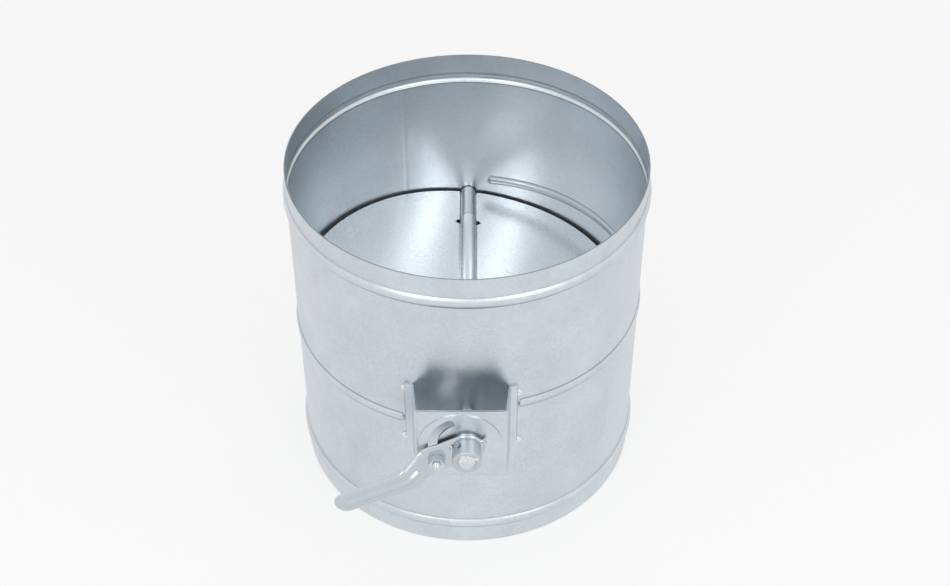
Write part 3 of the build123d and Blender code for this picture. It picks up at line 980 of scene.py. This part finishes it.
@dataclass
class WovenBlade:
    """Disc blade that passes under, over and under the shaft.

    Attributes:
        radius: Radius of the disc.
        tilt: How low its +X side hangs, in degrees.
        sheet: Sheet thickness.
        slit: Distance of each slit from the duct's axis.
        slit_width: Width of a slit.
        relief: Distance of the relief holes from the shaft's axis and their radius.
        crest: Outside radius of the pressed ridge.
        hollow: Inside radius of the ridge.
        foot: Distance from the shaft's axis where the ridge's foot starts, outside and inside.
        tongue: How far the ridge's crest reaches past the slits, and over what length it grows.
        wave: Waviness of the sheet.
        flat: Distance from the shaft's axis where the regular columns of the flat sheet start.
        columns: Faces across the flat sheet on each side of the shaft.
    """

    radius: float = 0.122
    tilt: float = 6.6
    sheet: float = 0.0012
    slit: float = 0.0845
    slit_width: float = 0.001
    relief: tuple[float, float] = (0.0070, 0.0024)
    crest: float = 0.00662
    hollow: float = 0.00603
    foot: tuple[float, float] = (0.0074, 0.0070)
    tongue: tuple[float, float] = (0.0058, 0.015)
    wave: float = 0.00045
    flat: float = 0.01
    columns: int = 28

    def profile(self, reach: float, foot: float, level: float, steps: int = 6) -> list[tuple[float, float]]:
        """Half of one face of the sheet where it goes round the shaft.

        Args:
            reach: Radius of the face's arc.
            foot: Where its foot starts.
            level: Height of the flat sheet's face.
            steps: Faces in the foot and in a third of the arc.

        Returns:
            Distance and height of each point, from the foot to the crest.
        """
        join = level + self.sheet
        turn = sqrt(reach * reach - join * join)
        points = []
        for step in range(steps + 1):
            share = step / steps
            side = foot * (1 - share) ** 2 + reach * 2 * share * (1 - share) + turn * share**2
            points.append((side, level * (1 - share**2) + join * share**2))
        start = atan(join / turn)
        count = 3 * steps
        angles = [start + (pi / 2 - start) * step / count for step in range(1, count + 1)]
        return points + [(reach * cos(angle), reach * sin(angle)) for angle in angles]

    def section(self, along: float, over: bool) -> tuple[list[tuple[float, float]], list[tuple[float, float]]]:
        """Upper and lower face of the sheet at a distance along the shaft.

        Args:
            along: Distance from the duct's axis.
            over: Whether the sheet passes over the shaft here.

        Returns:
            Points of both faces, from -X to +X.
        """
        half = sqrt(self.radius**2 - along**2)
        outer = [half + (self.flat - half) * step / self.columns for step in range(self.columns + 1)]
        faces = []
        upper_face = (self.crest, self.foot[0], self.sheet / 2)
        lower_face = (self.hollow, self.foot[1], -self.sheet / 2)
        for reach, foot, level in (upper_face, lower_face):
            side = [(spot, level + self.swell(spot, along)) for spot in outer] + self.profile(reach, foot, level)
            other = [(spot, level + self.swell(-spot, along)) for spot in outer] + self.profile(reach, foot, level)
            faces.append([(-spot, height) for spot, height in other] + side[-2::-1])
        upper, lower = faces
        if over:
            return upper, lower
        turned_over = ([(spot, self.under(height, spot, along)) for spot, height in face] for face in (lower, upper))
        return tuple(turned_over)

    def swell(self, across: float, along: float) -> float:
        """Waviness of the sheet away from the shaft.

        Args:
            across: Distance from the shaft's axis.
            along: Distance from the duct's axis.

        Returns:
            The height.
        """
        share = min(max((abs(across) - self.flat) / 0.03, 0.0), 1.0)
        return self.wave * share * share * (3 - 2 * share) * sin(across / 0.021 + 0.6) * cos(along / 0.034 + 0.5)

    def under(self, height: float, across: float, along: float) -> float:
        """Turn a height over without turning the waviness over.

        Args:
            height: Height where the sheet would pass over the shaft.
            across: Distance from the shaft's axis.
            along: Distance from the duct's axis.

        Returns:
            The height where it passes under.
        """
        swell = self.swell(across, along)
        return swell - (height - swell)

    def rows(self) -> list[tuple[float, bool]]:
        """Rows of the mesh along the shaft.

        Returns:
            Distance from the duct's axis and whether the sheet passes over the shaft.
        """
        end = sqrt(self.radius**2 - self.flat**2) - 0.00001
        gap = self.slit_width / 2
        rows = []
        stretches = (
            (-end, -self.slit - gap, False),
            (-self.slit + gap, self.slit - gap, True),
            (self.slit + gap, end, False),
        )
        for start, stop, over in stretches:
            count = round((stop - start) / 0.003)
            rows += [(start + (stop - start) * (1 - cos(pi * step / count)) / 2, over) for step in range(count + 1)]
        return rows

    def reach_out(self, across: float, along: float) -> float:
        """How far the ridge's end is drawn out along the shaft.

        Args:
            across: Distance from the shaft's axis.
            along: Distance from the duct's axis.

        Returns:
            The shift along the shaft.
        """
        length, ease = self.tongue
        share = min(max(1 - (self.slit - abs(along)) / ease, 0.0), 1.0)
        bow = sqrt(max(1 - (across / self.crest) ** 2, 0.0))
        return length * bow * share * share * (1 if along > 0 else -1)

    def place(self, across: float, along: float, height: float) -> Triple:
        """Place a point of the blade.

        Args:
            across: Distance from the shaft's axis.
            along: Distance from the duct's axis.
            height: Height above the sheet's middle.

        Returns:
            The point in the damper's frame.
        """
        lean = radians(self.tilt)
        return (across * cos(lean) + height * sin(lean), along, SHAFT_HEIGHT - across * sin(lean) + height * cos(lean))

    def build(self, material: bpy.types.Material) -> None:
        """Make the blade in place of its node.

        Args:
            material: Blade material.
        """
        work = bmesh.new()
        painted_crease_shade = work.verts.layers.float.new("painted_crease_shade")
        sheets, rows = ([], []), self.rows()
        for along, over in rows:
            # Painted shade: the rows at the slits, round the ridge's ends over the shaft, are marked for the material
            # to darken.
            cut = abs(abs(along) - self.slit) < self.slit_width
            for face, points in zip(sheets, self.section(along, over)):
                face.append([])
                for across, height in points:
                    vert = work.verts.new(self.place(across, along + over * self.reach_out(across, along), height))
                    vert[painted_crease_shade] = float(cut and abs(across) < self.foot[0])
                    face[-1].append(vert)
        for row, ((_, over), (_, after)) in enumerate(zip(rows, rows[1:])):
            width = len(sheets[0][row])
            edge = self.columns if over != after else width
            for column in range(width - 1):
                if edge <= column < width - 1 - edge:
                    continue
                for face in sheets:
                    near, far = (face[line][column : column + 2] for line in (row, row + 1))
                    work.faces.new((*near, *reversed(far)))
        pairs = {top: low for upper, lower in zip(*sheets) for top, low in zip(upper, lower)}
        for rim in [rim for rim in work.edges if rim.is_boundary and rim.verts[0] in pairs]:
            first, second = rim.verts
            work.faces.new((first, second, pairs[second], pairs[first]))
        mesh = bpy.data.meshes.new("blade")
        work.to_mesh(mesh)
        work.free()
        lean = radians(self.tilt)
        offset, reach = self.relief
        spots = [(side * offset, end * self.slit) for side in (-1, 1) for end in (-1, 1)]
        holes = [(self.place(*spot, 0.0), (sin(lean), 0.0, cos(lean)), reach, 0.02) for spot in spots]
        shell("woven_blade", drilled(closed(mesh), holes), Body.BLADE, material, ("blade",), 40.0)


@dataclass
class HandLever:
    """Pressed hand lever with rolled edges, an offset grip and a rib.

    Attributes:
        angle: Direction of the lever about the shaft, in degrees.
        back: Depth of its rear face at the hub.
        sheet: Sheet thickness.
        rounds: Distance from the shaft and radius of each circle that the outline passes round.
        pointer: Reach of the pointer behind the hub and its half width.
        bend: Distances from the shaft where the bend starts and ends.
        grip_offset: How far the grip stands in front of the hub end.
        bend_ease: Half length of each rounding of the bend.
        edge: Radius of the rolled edge.
        crown: How far the face falls towards the edge, at the hub and along the grip.
        crown_width: Width of that fall.
        rib: Distances from the shaft where the rib's crest starts and ends.
        rib_width: Width of the rib.
        rib_rise: Height of the rib.
        holes: Distance from the shaft and radius of each hole.
    """

    angle: float = 208.0
    back: float = 0.149
    sheet: float = 0.002
    rounds: tuple[tuple[float, float], ...] = ((0.0, 0.012), (0.023, 0.0117), (0.045, 0.00925), (0.093, 0.0085))
    pointer: tuple[float, float] = (0.0148, 0.0017)
    bend: tuple[float, float] = (0.03, 0.045)
    grip_offset: float = 0.0115
    bend_ease: float = 0.0035
    edge: float = 0.0009
    crown: tuple[float, float] = (0.0006, 0.0015)
    crown_width: float = 0.0032
    rib: tuple[float, float] = (0.0385, 0.0915)
    rib_width: float = 0.0052
    rib_rise: float = 0.00125
    holes: tuple[tuple[float, float], ...] = ((0.0, 0.00605), (0.023, 0.0033))

    def distance(self, along: float, across: float) -> float:
        """Signed distance from the outline, below zero inside it.

        Args:
            along: Distance along the lever from the shaft.
            across: Distance across it.

        Returns:
            The distance.
        """
        nearest = inf
        for (start, first), (end, last) in zip(self.rounds, self.rounds[1:]):
            span = end - start
            lean = (first - last) / span
            slope = sqrt(1 - lean * lean)
            x, y = abs(across), along - start
            side = y * slope - x * lean
            if side < 0:
                away = hypot(x, y) - first
            elif side > slope * span:
                away = hypot(x, y - span) - last
            else:
                away = x * slope + y * lean - first
            nearest = self.joined(nearest, away, 0.0015)
        reach, half = self.pointer
        out = (abs(along + reach / 2) - reach / 2, abs(across) - half * (1.4 + along / reach * 0.4))
        spike = hypot(max(out[0], 0.0), max(out[1], 0.0)) + min(max(out), 0.0)
        return self.joined(nearest, spike, 0.0012)

    @staticmethod
    def joined(first: float, second: float, ease: float) -> float:
        """Join two distances with a small fillet.

        Args:
            first: First distance.
            second: Second distance.
            ease: Size of the fillet.

        Returns:
            The joined distance.
        """
        blend = max(ease - abs(first - second), 0.0) / ease if first < inf else 0.0
        return min(first, second) - blend * blend * ease / 4

    def half_width(self, along: float) -> float:
        """Half the width of the flat face at a distance from the shaft.

        Args:
            along: Distance from the shaft.

        Returns:
            The half width, inside the rolled edge.
        """
        low, high = 0.0, 0.016
        for _ in range(24):
            middle = (low + high) / 2
            if self.distance(along, middle) < -self.edge:
                low = middle
            else:
                high = middle
        return low

    def rows(self) -> list[float]:
        """Distances from the shaft where the mesh has a row.

        Returns:
            The distances, from the pointer to the grip's end.
        """
        near = -self.pointer[0] + self.edge + 0.00002
        far = self.rounds[-1][0] + self.rounds[-1][1] - self.edge - 0.00002
        zone = 0.003
        eased = [zone * (1 - cos(pi / 2 * step / 9)) for step in range(9)]
        count = round((far - near - 2 * zone) / 0.0008)
        middle = [near + zone + (far - near - 2 * zone) * step / count for step in range(count + 1)]
        return [near + step for step in eased] + middle + [far - step for step in reversed(eased)]

    def raised(self, along: float) -> float:
        """How far the bend has brought the sheet forward.

        Args:
            along: Distance from the shaft.

        Returns:
            The offset.
        """
        total = 0.0
        for sign, start in zip((1, -1), self.bend):
            past = along - start
            if past > self.bend_ease:
                total += sign * past
            elif past > -self.bend_ease:
                total += sign * (past + self.bend_ease) ** 2 / (4 * self.bend_ease)
        return total * self.grip_offset / (self.bend[1] - self.bend[0])

    def spot(self, along: float, across: float, lift: float) -> Triple:
        """Place a point of the lever.

        Args:
            along: Distance from the shaft.
            across: Distance from the middle line.
            lift: Distance in front of the sheet's middle.

        Returns:
            The point in the damper's frame.
        """
        fall = min(max((self.distance(along, across) + self.crown_width) / self.crown_width, 0.0), 1.3)
        share = min(max((along - 0.012) / 0.03, 0.0), 1.0)
        lift -= (self.crown[0] + (self.crown[1] - self.crown[0]) * share) * fall * fall
        away = hypot(max(self.rib[0] - along, along - self.rib[1], 0.0), across)
        crest = max(1 - (2 * away / self.rib_width) ** 2, 0.0)
        lift += self.rib_rise * crest**1.3
        tilt = atan((self.raised(along + 0.0001) - self.raised(along - 0.0001)) / 0.0002)
        depth = self.back + self.sheet / 2 + self.raised(along) + lift * cos(tilt)
        along -= lift * sin(tilt)
        turn = radians(self.angle)
        return (along * cos(turn) - across * sin(turn), -depth, SHAFT_HEIGHT + along * sin(turn) + across * cos(turn))

    def ring(self, along: float, columns: int = 44, steps: int = 5) -> list[Triple]:
        """Make one section loop of the lever.

        Args:
            along: Distance of the row from the shaft.
            columns: Faces across each side.
            steps: Faces in a quarter of the rolled edge.

        Returns:
            Points of the loop.
        """
        half = self.half_width(along)
        small = 0.00001
        slope_along = self.distance(along + small, half) - self.distance(along - small, half)
        slope_across = self.distance(along, half + small) - self.distance(along, half - small)
        out = Vector((slope_along, slope_across if half > small else 0.0)).normalized()
        flat = self.sheet / 2
        across = [2 * step / columns - 1 for step in range(columns + 1)]
        loop = [self.spot(along, share * half, flat) for share in across]
        for side, start in ((1, 1), (-1, -1)):
            for step in range(1, 2 * steps):
                angle = pi / 2 - start * pi / 2 * step / steps
                angle = angle if side > 0 else angle - pi
                reach = self.edge * abs(cos(angle))
                sign = 1 if sin(angle) > 0.01 else -1 if sin(angle) < -0.01 else 0
                lift = (flat - self.edge) * sign + self.edge * sin(angle)
                loop.append(self.spot(along + reach * out.x, side * (half + reach * out.y), lift))
            if side > 0:
                loop += [self.spot(along, share * half, -flat) for share in reversed(across)]
        return loop

    def build(self, material: bpy.types.Material) -> None:
        """Make the lever in place of its node.

        Args:
            material: Lever material.
        """
        mesh = lofted("lever", [self.ring(along) for along in self.rows()])
        turn = radians(self.angle)
        middle = -(self.back + self.sheet / 2)
        holes = [
            ((at * cos(turn), middle, SHAFT_HEIGHT + at * sin(turn)), (0.0, 1.0, 0.0), reach, 0.01)
            for at, reach in self.holes
        ]
        shell("pressed_lever", drilled(mesh, holes), Body.BLADE, material, ("lever",), 50.0)


@dataclass
class LockBolt:
    """Cup-head bolt with a square neck and a cut thread.

    Attributes:
        angle: Direction of the bolt from the shaft, in degrees.
        reach: Distance of the bolt from the shaft.
        head: Depths of the head's rear and front, and its radius.
        neck: Depth where the square neck ends, and half its width.
        end: Depth of the bolt's front end.
        crest: Radius of the thread's crests.
        root: Radius of its roots.
        pitch: Thread pitch.
        chamfer: Length of the chamfer at the end.
    """

    angle: float = 208.0
    reach: float = 0.023
    head: Triple = (0.14205, 0.14525, 0.0062)
    neck: tuple[float, float] = (0.14675, 0.0029)
    end: float = 0.1594
    crest: float = 0.003
    root: float = 0.00248
    pitch: float = 0.001
    chamfer: float = 0.0006

    def ring(self, depth: float, reach: object, steps: int = 40) -> list[Triple]:
        """Make one ring of points round the bolt.

        Args:
            depth: Depth of the ring.
            reach: Function from angle to radius.
            steps: Points in the ring.

        Returns:
            The points.
        """
        turn = radians(self.angle)
        centre = (self.reach * cos(turn), SHAFT_HEIGHT + self.reach * sin(turn))
        angles = [tau * step / steps for step in range(steps)]
        return [
            (centre[0] + reach(angle) * cos(angle + turn), -depth, centre[1] + reach(angle) * sin(angle + turn))
            for angle in angles
        ]

    def build(self, material: bpy.types.Material) -> None:
        """Make the bolt in place of its node.

        Args:
            material: Fastener material.
        """
        rear, seat, wide = self.head
        dome = seat - rear - 0.0005
        rings = []
        for step in range(1, 13):
            angle = pi / 2 * step / 12
            rings.append(self.ring(rear + dome * (1 - cos(angle)), lambda _, size=wide * sin(angle): size))
        rings.append(self.ring(seat - 0.0001, lambda _: wide))
        rings.append(self.ring(seat, lambda _: wide - 0.0001))
        stop = self.neck[0]
        for depth in (seat, stop):
            rings.append(self.ring(depth, self.square))
        rows = round((self.end - stop) / 0.0001)
        for row in range(rows + 1):
            depth = stop + (self.end - stop) * row / rows
            limit = self.crest - max(depth - self.end + self.chamfer, 0.0)
            rings.append(self.ring(depth, lambda angle, d=depth, top=limit: min(top, self.thread(d, angle))))
        shell("threaded_bolt", lofted("bolt", rings), Body.BOLT, material, ("lock_bolt",), 40.0)

    def square(self, angle: float) -> float:
        """Radius of the square neck, with its corners cut.

        Args:
            angle: Angle about the bolt.

        Returns:
            The radius.
        """
        half = self.neck[1]
        return min(half / max(abs(cos(angle)), abs(sin(angle))), half * 1.3)

    def thread(self, depth: float, angle: float) -> float:
        """Radius of the thread at a depth and an angle.

        Args:
            depth: Depth in front of the duct's axis.
            angle: Angle about the bolt.

        Returns:
            The radius.
        """
        middle, swing = (self.crest + self.root) / 2, (self.crest - self.root) / 2
        return middle + swing * cos(tau * depth / self.pitch - angle)


@dataclass
class WeldMarks:
    """Small weld lumps, scattered by a geometry tree on given spots.

    Attributes:
        foot_spots: Spots of the tack welds at the bracket's feet.
        hub_spots: Spots of the lumps where the shaft is welded into the hub.
        hub_face: Depth of the hub's front face.
        hub_tack: Spot of the tack weld between hub and lever.
    """

    foot_spots: tuple[Triple, ...] = (
        (-0.04185, -0.11832, 0.15363),
        (-0.04238, -0.11813, 0.10647),
        (0.03477, -0.12059, 0.15115),
        (0.03481, -0.12057, 0.10455),
    )
    hub_spots: tuple[tuple[float, float, float], ...] = (
        (-0.00251, 0.13381, 0.0018),
        (-0.00088, 0.13104, 0.0017),
        (0.00079, 0.13331, 0.0018),
        (0.00242, 0.12985, 0.0015),
        (0.00408, 0.13183, 0.0018),
        (0.00652, 0.13213, 0.0016),
        (-0.00406, 0.12935, 0.0012),
        (-0.00351, 0.13181, 0.0015),
        (0.00252, 0.13241, 0.0018),
    )
    hub_face: float = 0.1634
    hub_tack: Triple = (-0.01093, -0.1515, 0.1305)

    def tree(self) -> bpy.types.NodeTree:
        """Build the tree that sets a lump on every point.

        Returns:
            The tree.
        """
        tree = bpy.data.node_groups.new("Weld lumps", "GeometryNodeTree")
        tree.interface.new_socket("Geometry", in_out="OUTPUT", socket_type="NodeSocketGeometry")
        tree.interface.new_socket("Spots", in_out="INPUT", socket_type="NodeSocketGeometry")
        for label in ("Flatness", "Lumpiness", "Grain"):
            tree.interface.new_socket(label, in_out="INPUT", socket_type="NodeSocketFloat")
        tree.interface.new_socket("Seed", in_out="INPUT", socket_type="NodeSocketInt")
        tree.interface.new_socket("Material", in_out="INPUT", socket_type="NodeSocketMaterial")
        graph = Graph(tree)
        take = graph.node("NodeGroupInput").outputs
        ball = graph.node("GeometryNodeMeshIcoSphere", {"Radius": 1.0, "Subdivisions": 4}).outputs["Mesh"]
        read = "GeometryNodeInputNamedAttribute"
        size = graph.node(read, {"Name": "reach"}, data_type="FLOAT").outputs["Attribute"]
        facing = graph.node(read, {"Name": "facing"}, data_type="FLOAT_VECTOR").outputs["Attribute"]
        turn = graph.node("FunctionNodeAlignRotationToVector", {"Vector": facing}, axis="Z").outputs[0]
        flat = graph.math("MULTIPLY", size, take["Flatness"])
        scale = graph.node("ShaderNodeCombineXYZ", {0: size, 1: size, 2: flat}).outputs[0]
        lumps = {"Points": take["Spots"], "Instance": ball, "Rotation": turn, "Scale": scale}
        set_on = graph.node("GeometryNodeInstanceOnPoints", lumps).outputs[0]
        real = graph.node("GeometryNodeRealizeInstances", {0: set_on}).outputs[0]
        here = graph.node("GeometryNodeInputPosition").outputs[0]
        noise = graph.noise(here, take["Grain"], {"Detail": 2.0}, take["Seed"])
        push = graph.math("MULTIPLY", graph.math("SUBTRACT", noise, 0.6), take["Lumpiness"])
        normal = graph.node("GeometryNodeInputNormal").outputs[0]
        shift = graph.node("ShaderNodeVectorMath", {0: normal, "Scale": push}, operation="SCALE").outputs[0]
        lumpy = graph.node("GeometryNodeSetPosition", {"Geometry": real, "Offset": shift}).outputs[0]
        dressed = graph.node("GeometryNodeSetMaterial", {"Geometry": lumpy, "Material": take["Material"]}).outputs[0]
        graph.node("NodeGroupOutput", {0: dressed})
        return tree

    @staticmethod
    def spots(places: list[tuple[Triple, Triple, float]]) -> bpy.types.Mesh:
        """Make the points that carry the lumps.

        Args:
            places: Spot, facing direction and radius of each lump.

        Returns:
            Mesh of loose points.
        """
        mesh = bpy.data.meshes.new("spots")
        mesh.from_pydata([spot for spot, _, _ in places], [], [])
        reach = mesh.attributes.new("reach", "FLOAT", "POINT")
        facing = mesh.attributes.new("facing", "FLOAT_VECTOR", "POINT")
        for row, (_, way, size) in enumerate(places):
            reach.data[row].value = size
            facing.data[row].vector = way
        return mesh

    def build(self, weld: bpy.types.Material) -> None:
        """Make the weld lumps of the bracket and of the hub.

        Args:
            weld: Weld material.
        """
        tree = self.tree()
        feet = [(spot, (spot[0], spot[1], 0.0), 0.0031) for spot in self.foot_spots]
        values = {"Flatness": 0.4, "Lumpiness": 0.0008, "Grain": 420.0, "Seed": 3, "Material": weld}
        shell("bracket_tack_welds", evaluated_mesh(tree, values, self.spots(feet)), Body.CASING, weld)
        hub = [((x, -self.hub_face, z), (0.0, -1.0, 0.0), size) for x, z, size in self.hub_spots]
        hub.append((self.hub_tack, (-1.0, -0.7, 0.2), 0.0019))
        values = {"Flatness": 0.27, "Lumpiness": 0.0004, "Grain": 700.0, "Seed": 11, "Material": weld}
        shell("hub_welds", evaluated_mesh(tree, values, self.spots(hub)), Body.BLADE, weld)


@dataclass
class Studio:
    """Camera, lamps, floor and surroundings.

    Attributes:
        eye: Camera position.
        tilt: Camera tilt from straight down, in degrees.
        lens: Focal length in millimetres.
        floor_drop: How far the floor lies below the tube.
        floor_white: Share of plain white in the open floor's look.
    """

    eye: Triple = (0.0054, -0.858, 0.9165)
    tilt: float = 47.55
    lens: float = 59.8
    floor_drop: float = 0.0005
    floor_white: float = 0.7
    lamps: tuple = field(default=(
        ("softbox left", (-0.46, -0.98, 1.02), (0.4, 0.4), 2.2, (0.0, 0.0, 0.15)),
        ("softbox right", (0.62, -0.94, 0.95), (0.4, 0.4), 2.2, (0.0, 0.0, 0.15)),
    ))

    def camera(self) -> None:
        """Place the camera where the photograph was taken from."""
        made = bpy.data.cameras.new("camera")
        made.lens = self.lens
        made.sensor_width = 36.0
        made.clip_start = 0.05
        view = bpy.data.objects.new("camera", made)
        view.location = self.eye
        view.rotation_euler = (radians(self.tilt), 0.0, 0.0)
        bpy.context.scene.collection.objects.link(view)
        bpy.context.scene.camera = view

    def surroundings(self) -> None:
        """White surroundings for the camera and for reflections."""
        world = bpy.data.worlds.new("studio")
        bpy.context.scene.world = world
        world.use_nodes = True
        graph = Graph(world.node_tree)
        strength = graph.math("MULTIPLY_ADD", graph.seen(), 0.25, 0.75)
        background = world.node_tree.nodes["Background"]
        graph.wire(background.inputs["Color"], (1.0, 1.0, 1.0, 1.0))
        graph.wire(background.inputs["Strength"], strength)

    def floor(self) -> None:
        """A plain pale floor under the damper."""
        mesh = bpy.data.meshes.new("floor")
        work = bmesh.new()
        bmesh.ops.create_grid(work, x_segments=1, y_segments=1, size=6.0)
        work.to_mesh(mesh)
        work.free()
        plane = bpy.data.objects.new("floor", mesh)
        plane.location.z = -self.floor_drop
        made = bpy.data.materials.new("floor")
        made.use_nodes = True
        shader = made.node_tree.nodes["Principled BSDF"]
        shader.inputs["Base Color"].default_value = (0.95, 0.95, 0.95, 1.0)
        shader.inputs["Roughness"].default_value = 0.9
        shader.inputs["Specular IOR Level"].default_value = 0.0
        graph = Graph(made.node_tree)
        white = graph.node("ShaderNodeEmission", {"Color": (1.0, 1.0, 1.0, 1.0), "Strength": 1.0}).outputs[0]
        place = graph.node("ShaderNodeTexCoord").outputs["Object"]
        spot = graph.node("ShaderNodeVectorMath", {0: place}, operation="LENGTH").outputs["Value"]
        open_floor = graph.math("MULTIPLY", graph.ramp(spot, 0.12, 0.126), self.floor_white)
        share = graph.math("MULTIPLY", graph.seen(), open_floor)
        mixed = graph.node("ShaderNodeMixShader", {0: share, 1: shader.outputs[0], 2: white}).outputs[0]
        graph.wire(made.node_tree.nodes["Material Output"].inputs["Surface"], mixed)
        mesh.materials.append(made)
        bpy.context.scene.collection.objects.link(plane)

    def light(self) -> None:
        """Soft area lamps aimed at the damper."""
        for name, place, size, power, aim in self.lamps:
            lamp = bpy.data.lights.new(name, "AREA")
            lamp.shape = "RECTANGLE"
            lamp.size, lamp.size_y = size
            lamp.energy = power
            made = bpy.data.objects.new(name, lamp)
            made.location = place
            made.rotation_euler = (Vector(aim) - Vector(place)).to_track_quat("-Z", "Y").to_euler()
            bpy.context.scene.collection.objects.link(made)

    def build(self) -> None:
        """Set up the whole studio."""
        bpy.context.scene.view_settings.view_transform = "Standard"
        self.camera()
        self.surroundings()
        self.floor()
        self.light()


def dress_nodes(finishes: dict[Slot, bpy.types.Material]) -> None:
    """Give each carried-over node its finish.

    Args:
        finishes: Material of each slot.
    """
    slots = {part["node"]: part["material_slot"] for part in frame["record"]["subparts"]}
    for name, made in frame["nodes"].items():
        material = finishes[Slot(slots[name])]
        if not made.data.materials:
            made.data.materials.append(material)
        for place in made.material_slots:
            place.material = material


def main() -> None:
    """Build the damper and its studio in order."""
    logging.basicConfig(level=logging.INFO, format="%(message)s")
    groups = {"spangle": spangle_group(), "grain": grain_group(), "marks": handling_group()}
    ends = ((2, 0.257, 0.00004), (2, 0.0, 0.00004))
    # Bracket lines: bare cut edges along its top and bottom (z), and painted shade along each foot's toe where it
    # meets the casing (x).
    bracket_edges_and_toe_shade = ((2, 0.1595, 0.0001), (2, 0.0967, 0.0001), (0, 0.0343, 0.00035), (0, -0.0422, 0.00035))
    looks = {
        Slot.SHEET: MetalFinish(
            "galvanised sheet",
            (0.655, 0.705, 0.745),
            0.35,
            speck_depth=0.3,
            blotch_contrast=0.28,
            # Painted shade along the beads' feet and lower flanks, from the tube's painted_crease_shade attribute.
            shows_crease_shade=True,
            edge_and_shade_lines=ends,
            edge_and_shade_depth=0.58,
        ),
        Slot.BLADE: MetalFinish(
            "bright blade sheet",
            (0.80, 0.83, 0.855),
            0.26,
            speck_depth=0.05,
            crystal_contrast=0.02,
            blotch_contrast=0.05,
            bump=0.000003,
            smudge=0.05,
            # Painted shade at the ridge's ends over the shaft, darkened by edge_and_shade_depth.
            shows_crease_shade=True,
            edge_and_shade_depth=0.8,
        ),
        Slot.BRACKET: MetalFinish("bracket sheet", (0.65, 0.695, 0.735), 0.33, speck_depth=0.05, edge_and_shade_lines=bracket_edges_and_toe_shade),
        Slot.SHAFT: MetalFinish(
            "drawn shaft steel", (0.68, 0.71, 0.74), 0.24, speck_depth=0.03, line_contrast=0.08, bump=0.000003
        ),
        Slot.LEVER: MetalFinish(
            "zinc plated lever", (0.56, 0.605, 0.64), 0.2, speck_depth=0.03, crystal_contrast=0.02, bump=0.000006
        ),
        Slot.BUSH: MetalFinish("turned bush steel", (0.72, 0.75, 0.78), 0.2, speck_depth=0.02, bump=0.000005),
        Slot.FASTENER: MetalFinish("bright zinc fastener", (0.66, 0.69, 0.72), 0.2, speck_depth=0.02, bump=0.000005),
    }
    finishes = {slot: look.material(groups) for slot, look in looks.items()}
    hub_look = MetalFinish(
        "turned hub steel", (0.56, 0.60, 0.63), 0.42, speck_depth=0.06, line_contrast=0.1, bump=0.00001
    )
    weld_look = MetalFinish("weld bead", (0.76, 0.79, 0.81), 0.25, speck=1800.0, speck_depth=0.12, bump=0.00003)
    hub, weld = hub_look.material(groups), weld_look.material(groups)
    Studio().build()
    dress_nodes(finishes)
    CasingShell().build(finishes[Slot.SHEET])
    Bearings().build(finishes[Slot.SHAFT], finishes[Slot.BUSH], hub)
    WovenBlade().build(finishes[Slot.BLADE])
    HandLever().build(finishes[Slot.LEVER])
    LockBolt().build(finishes[Slot.FASTENER])
    WeldMarks().build(weld)


if __name__ == "__main__":
    main()
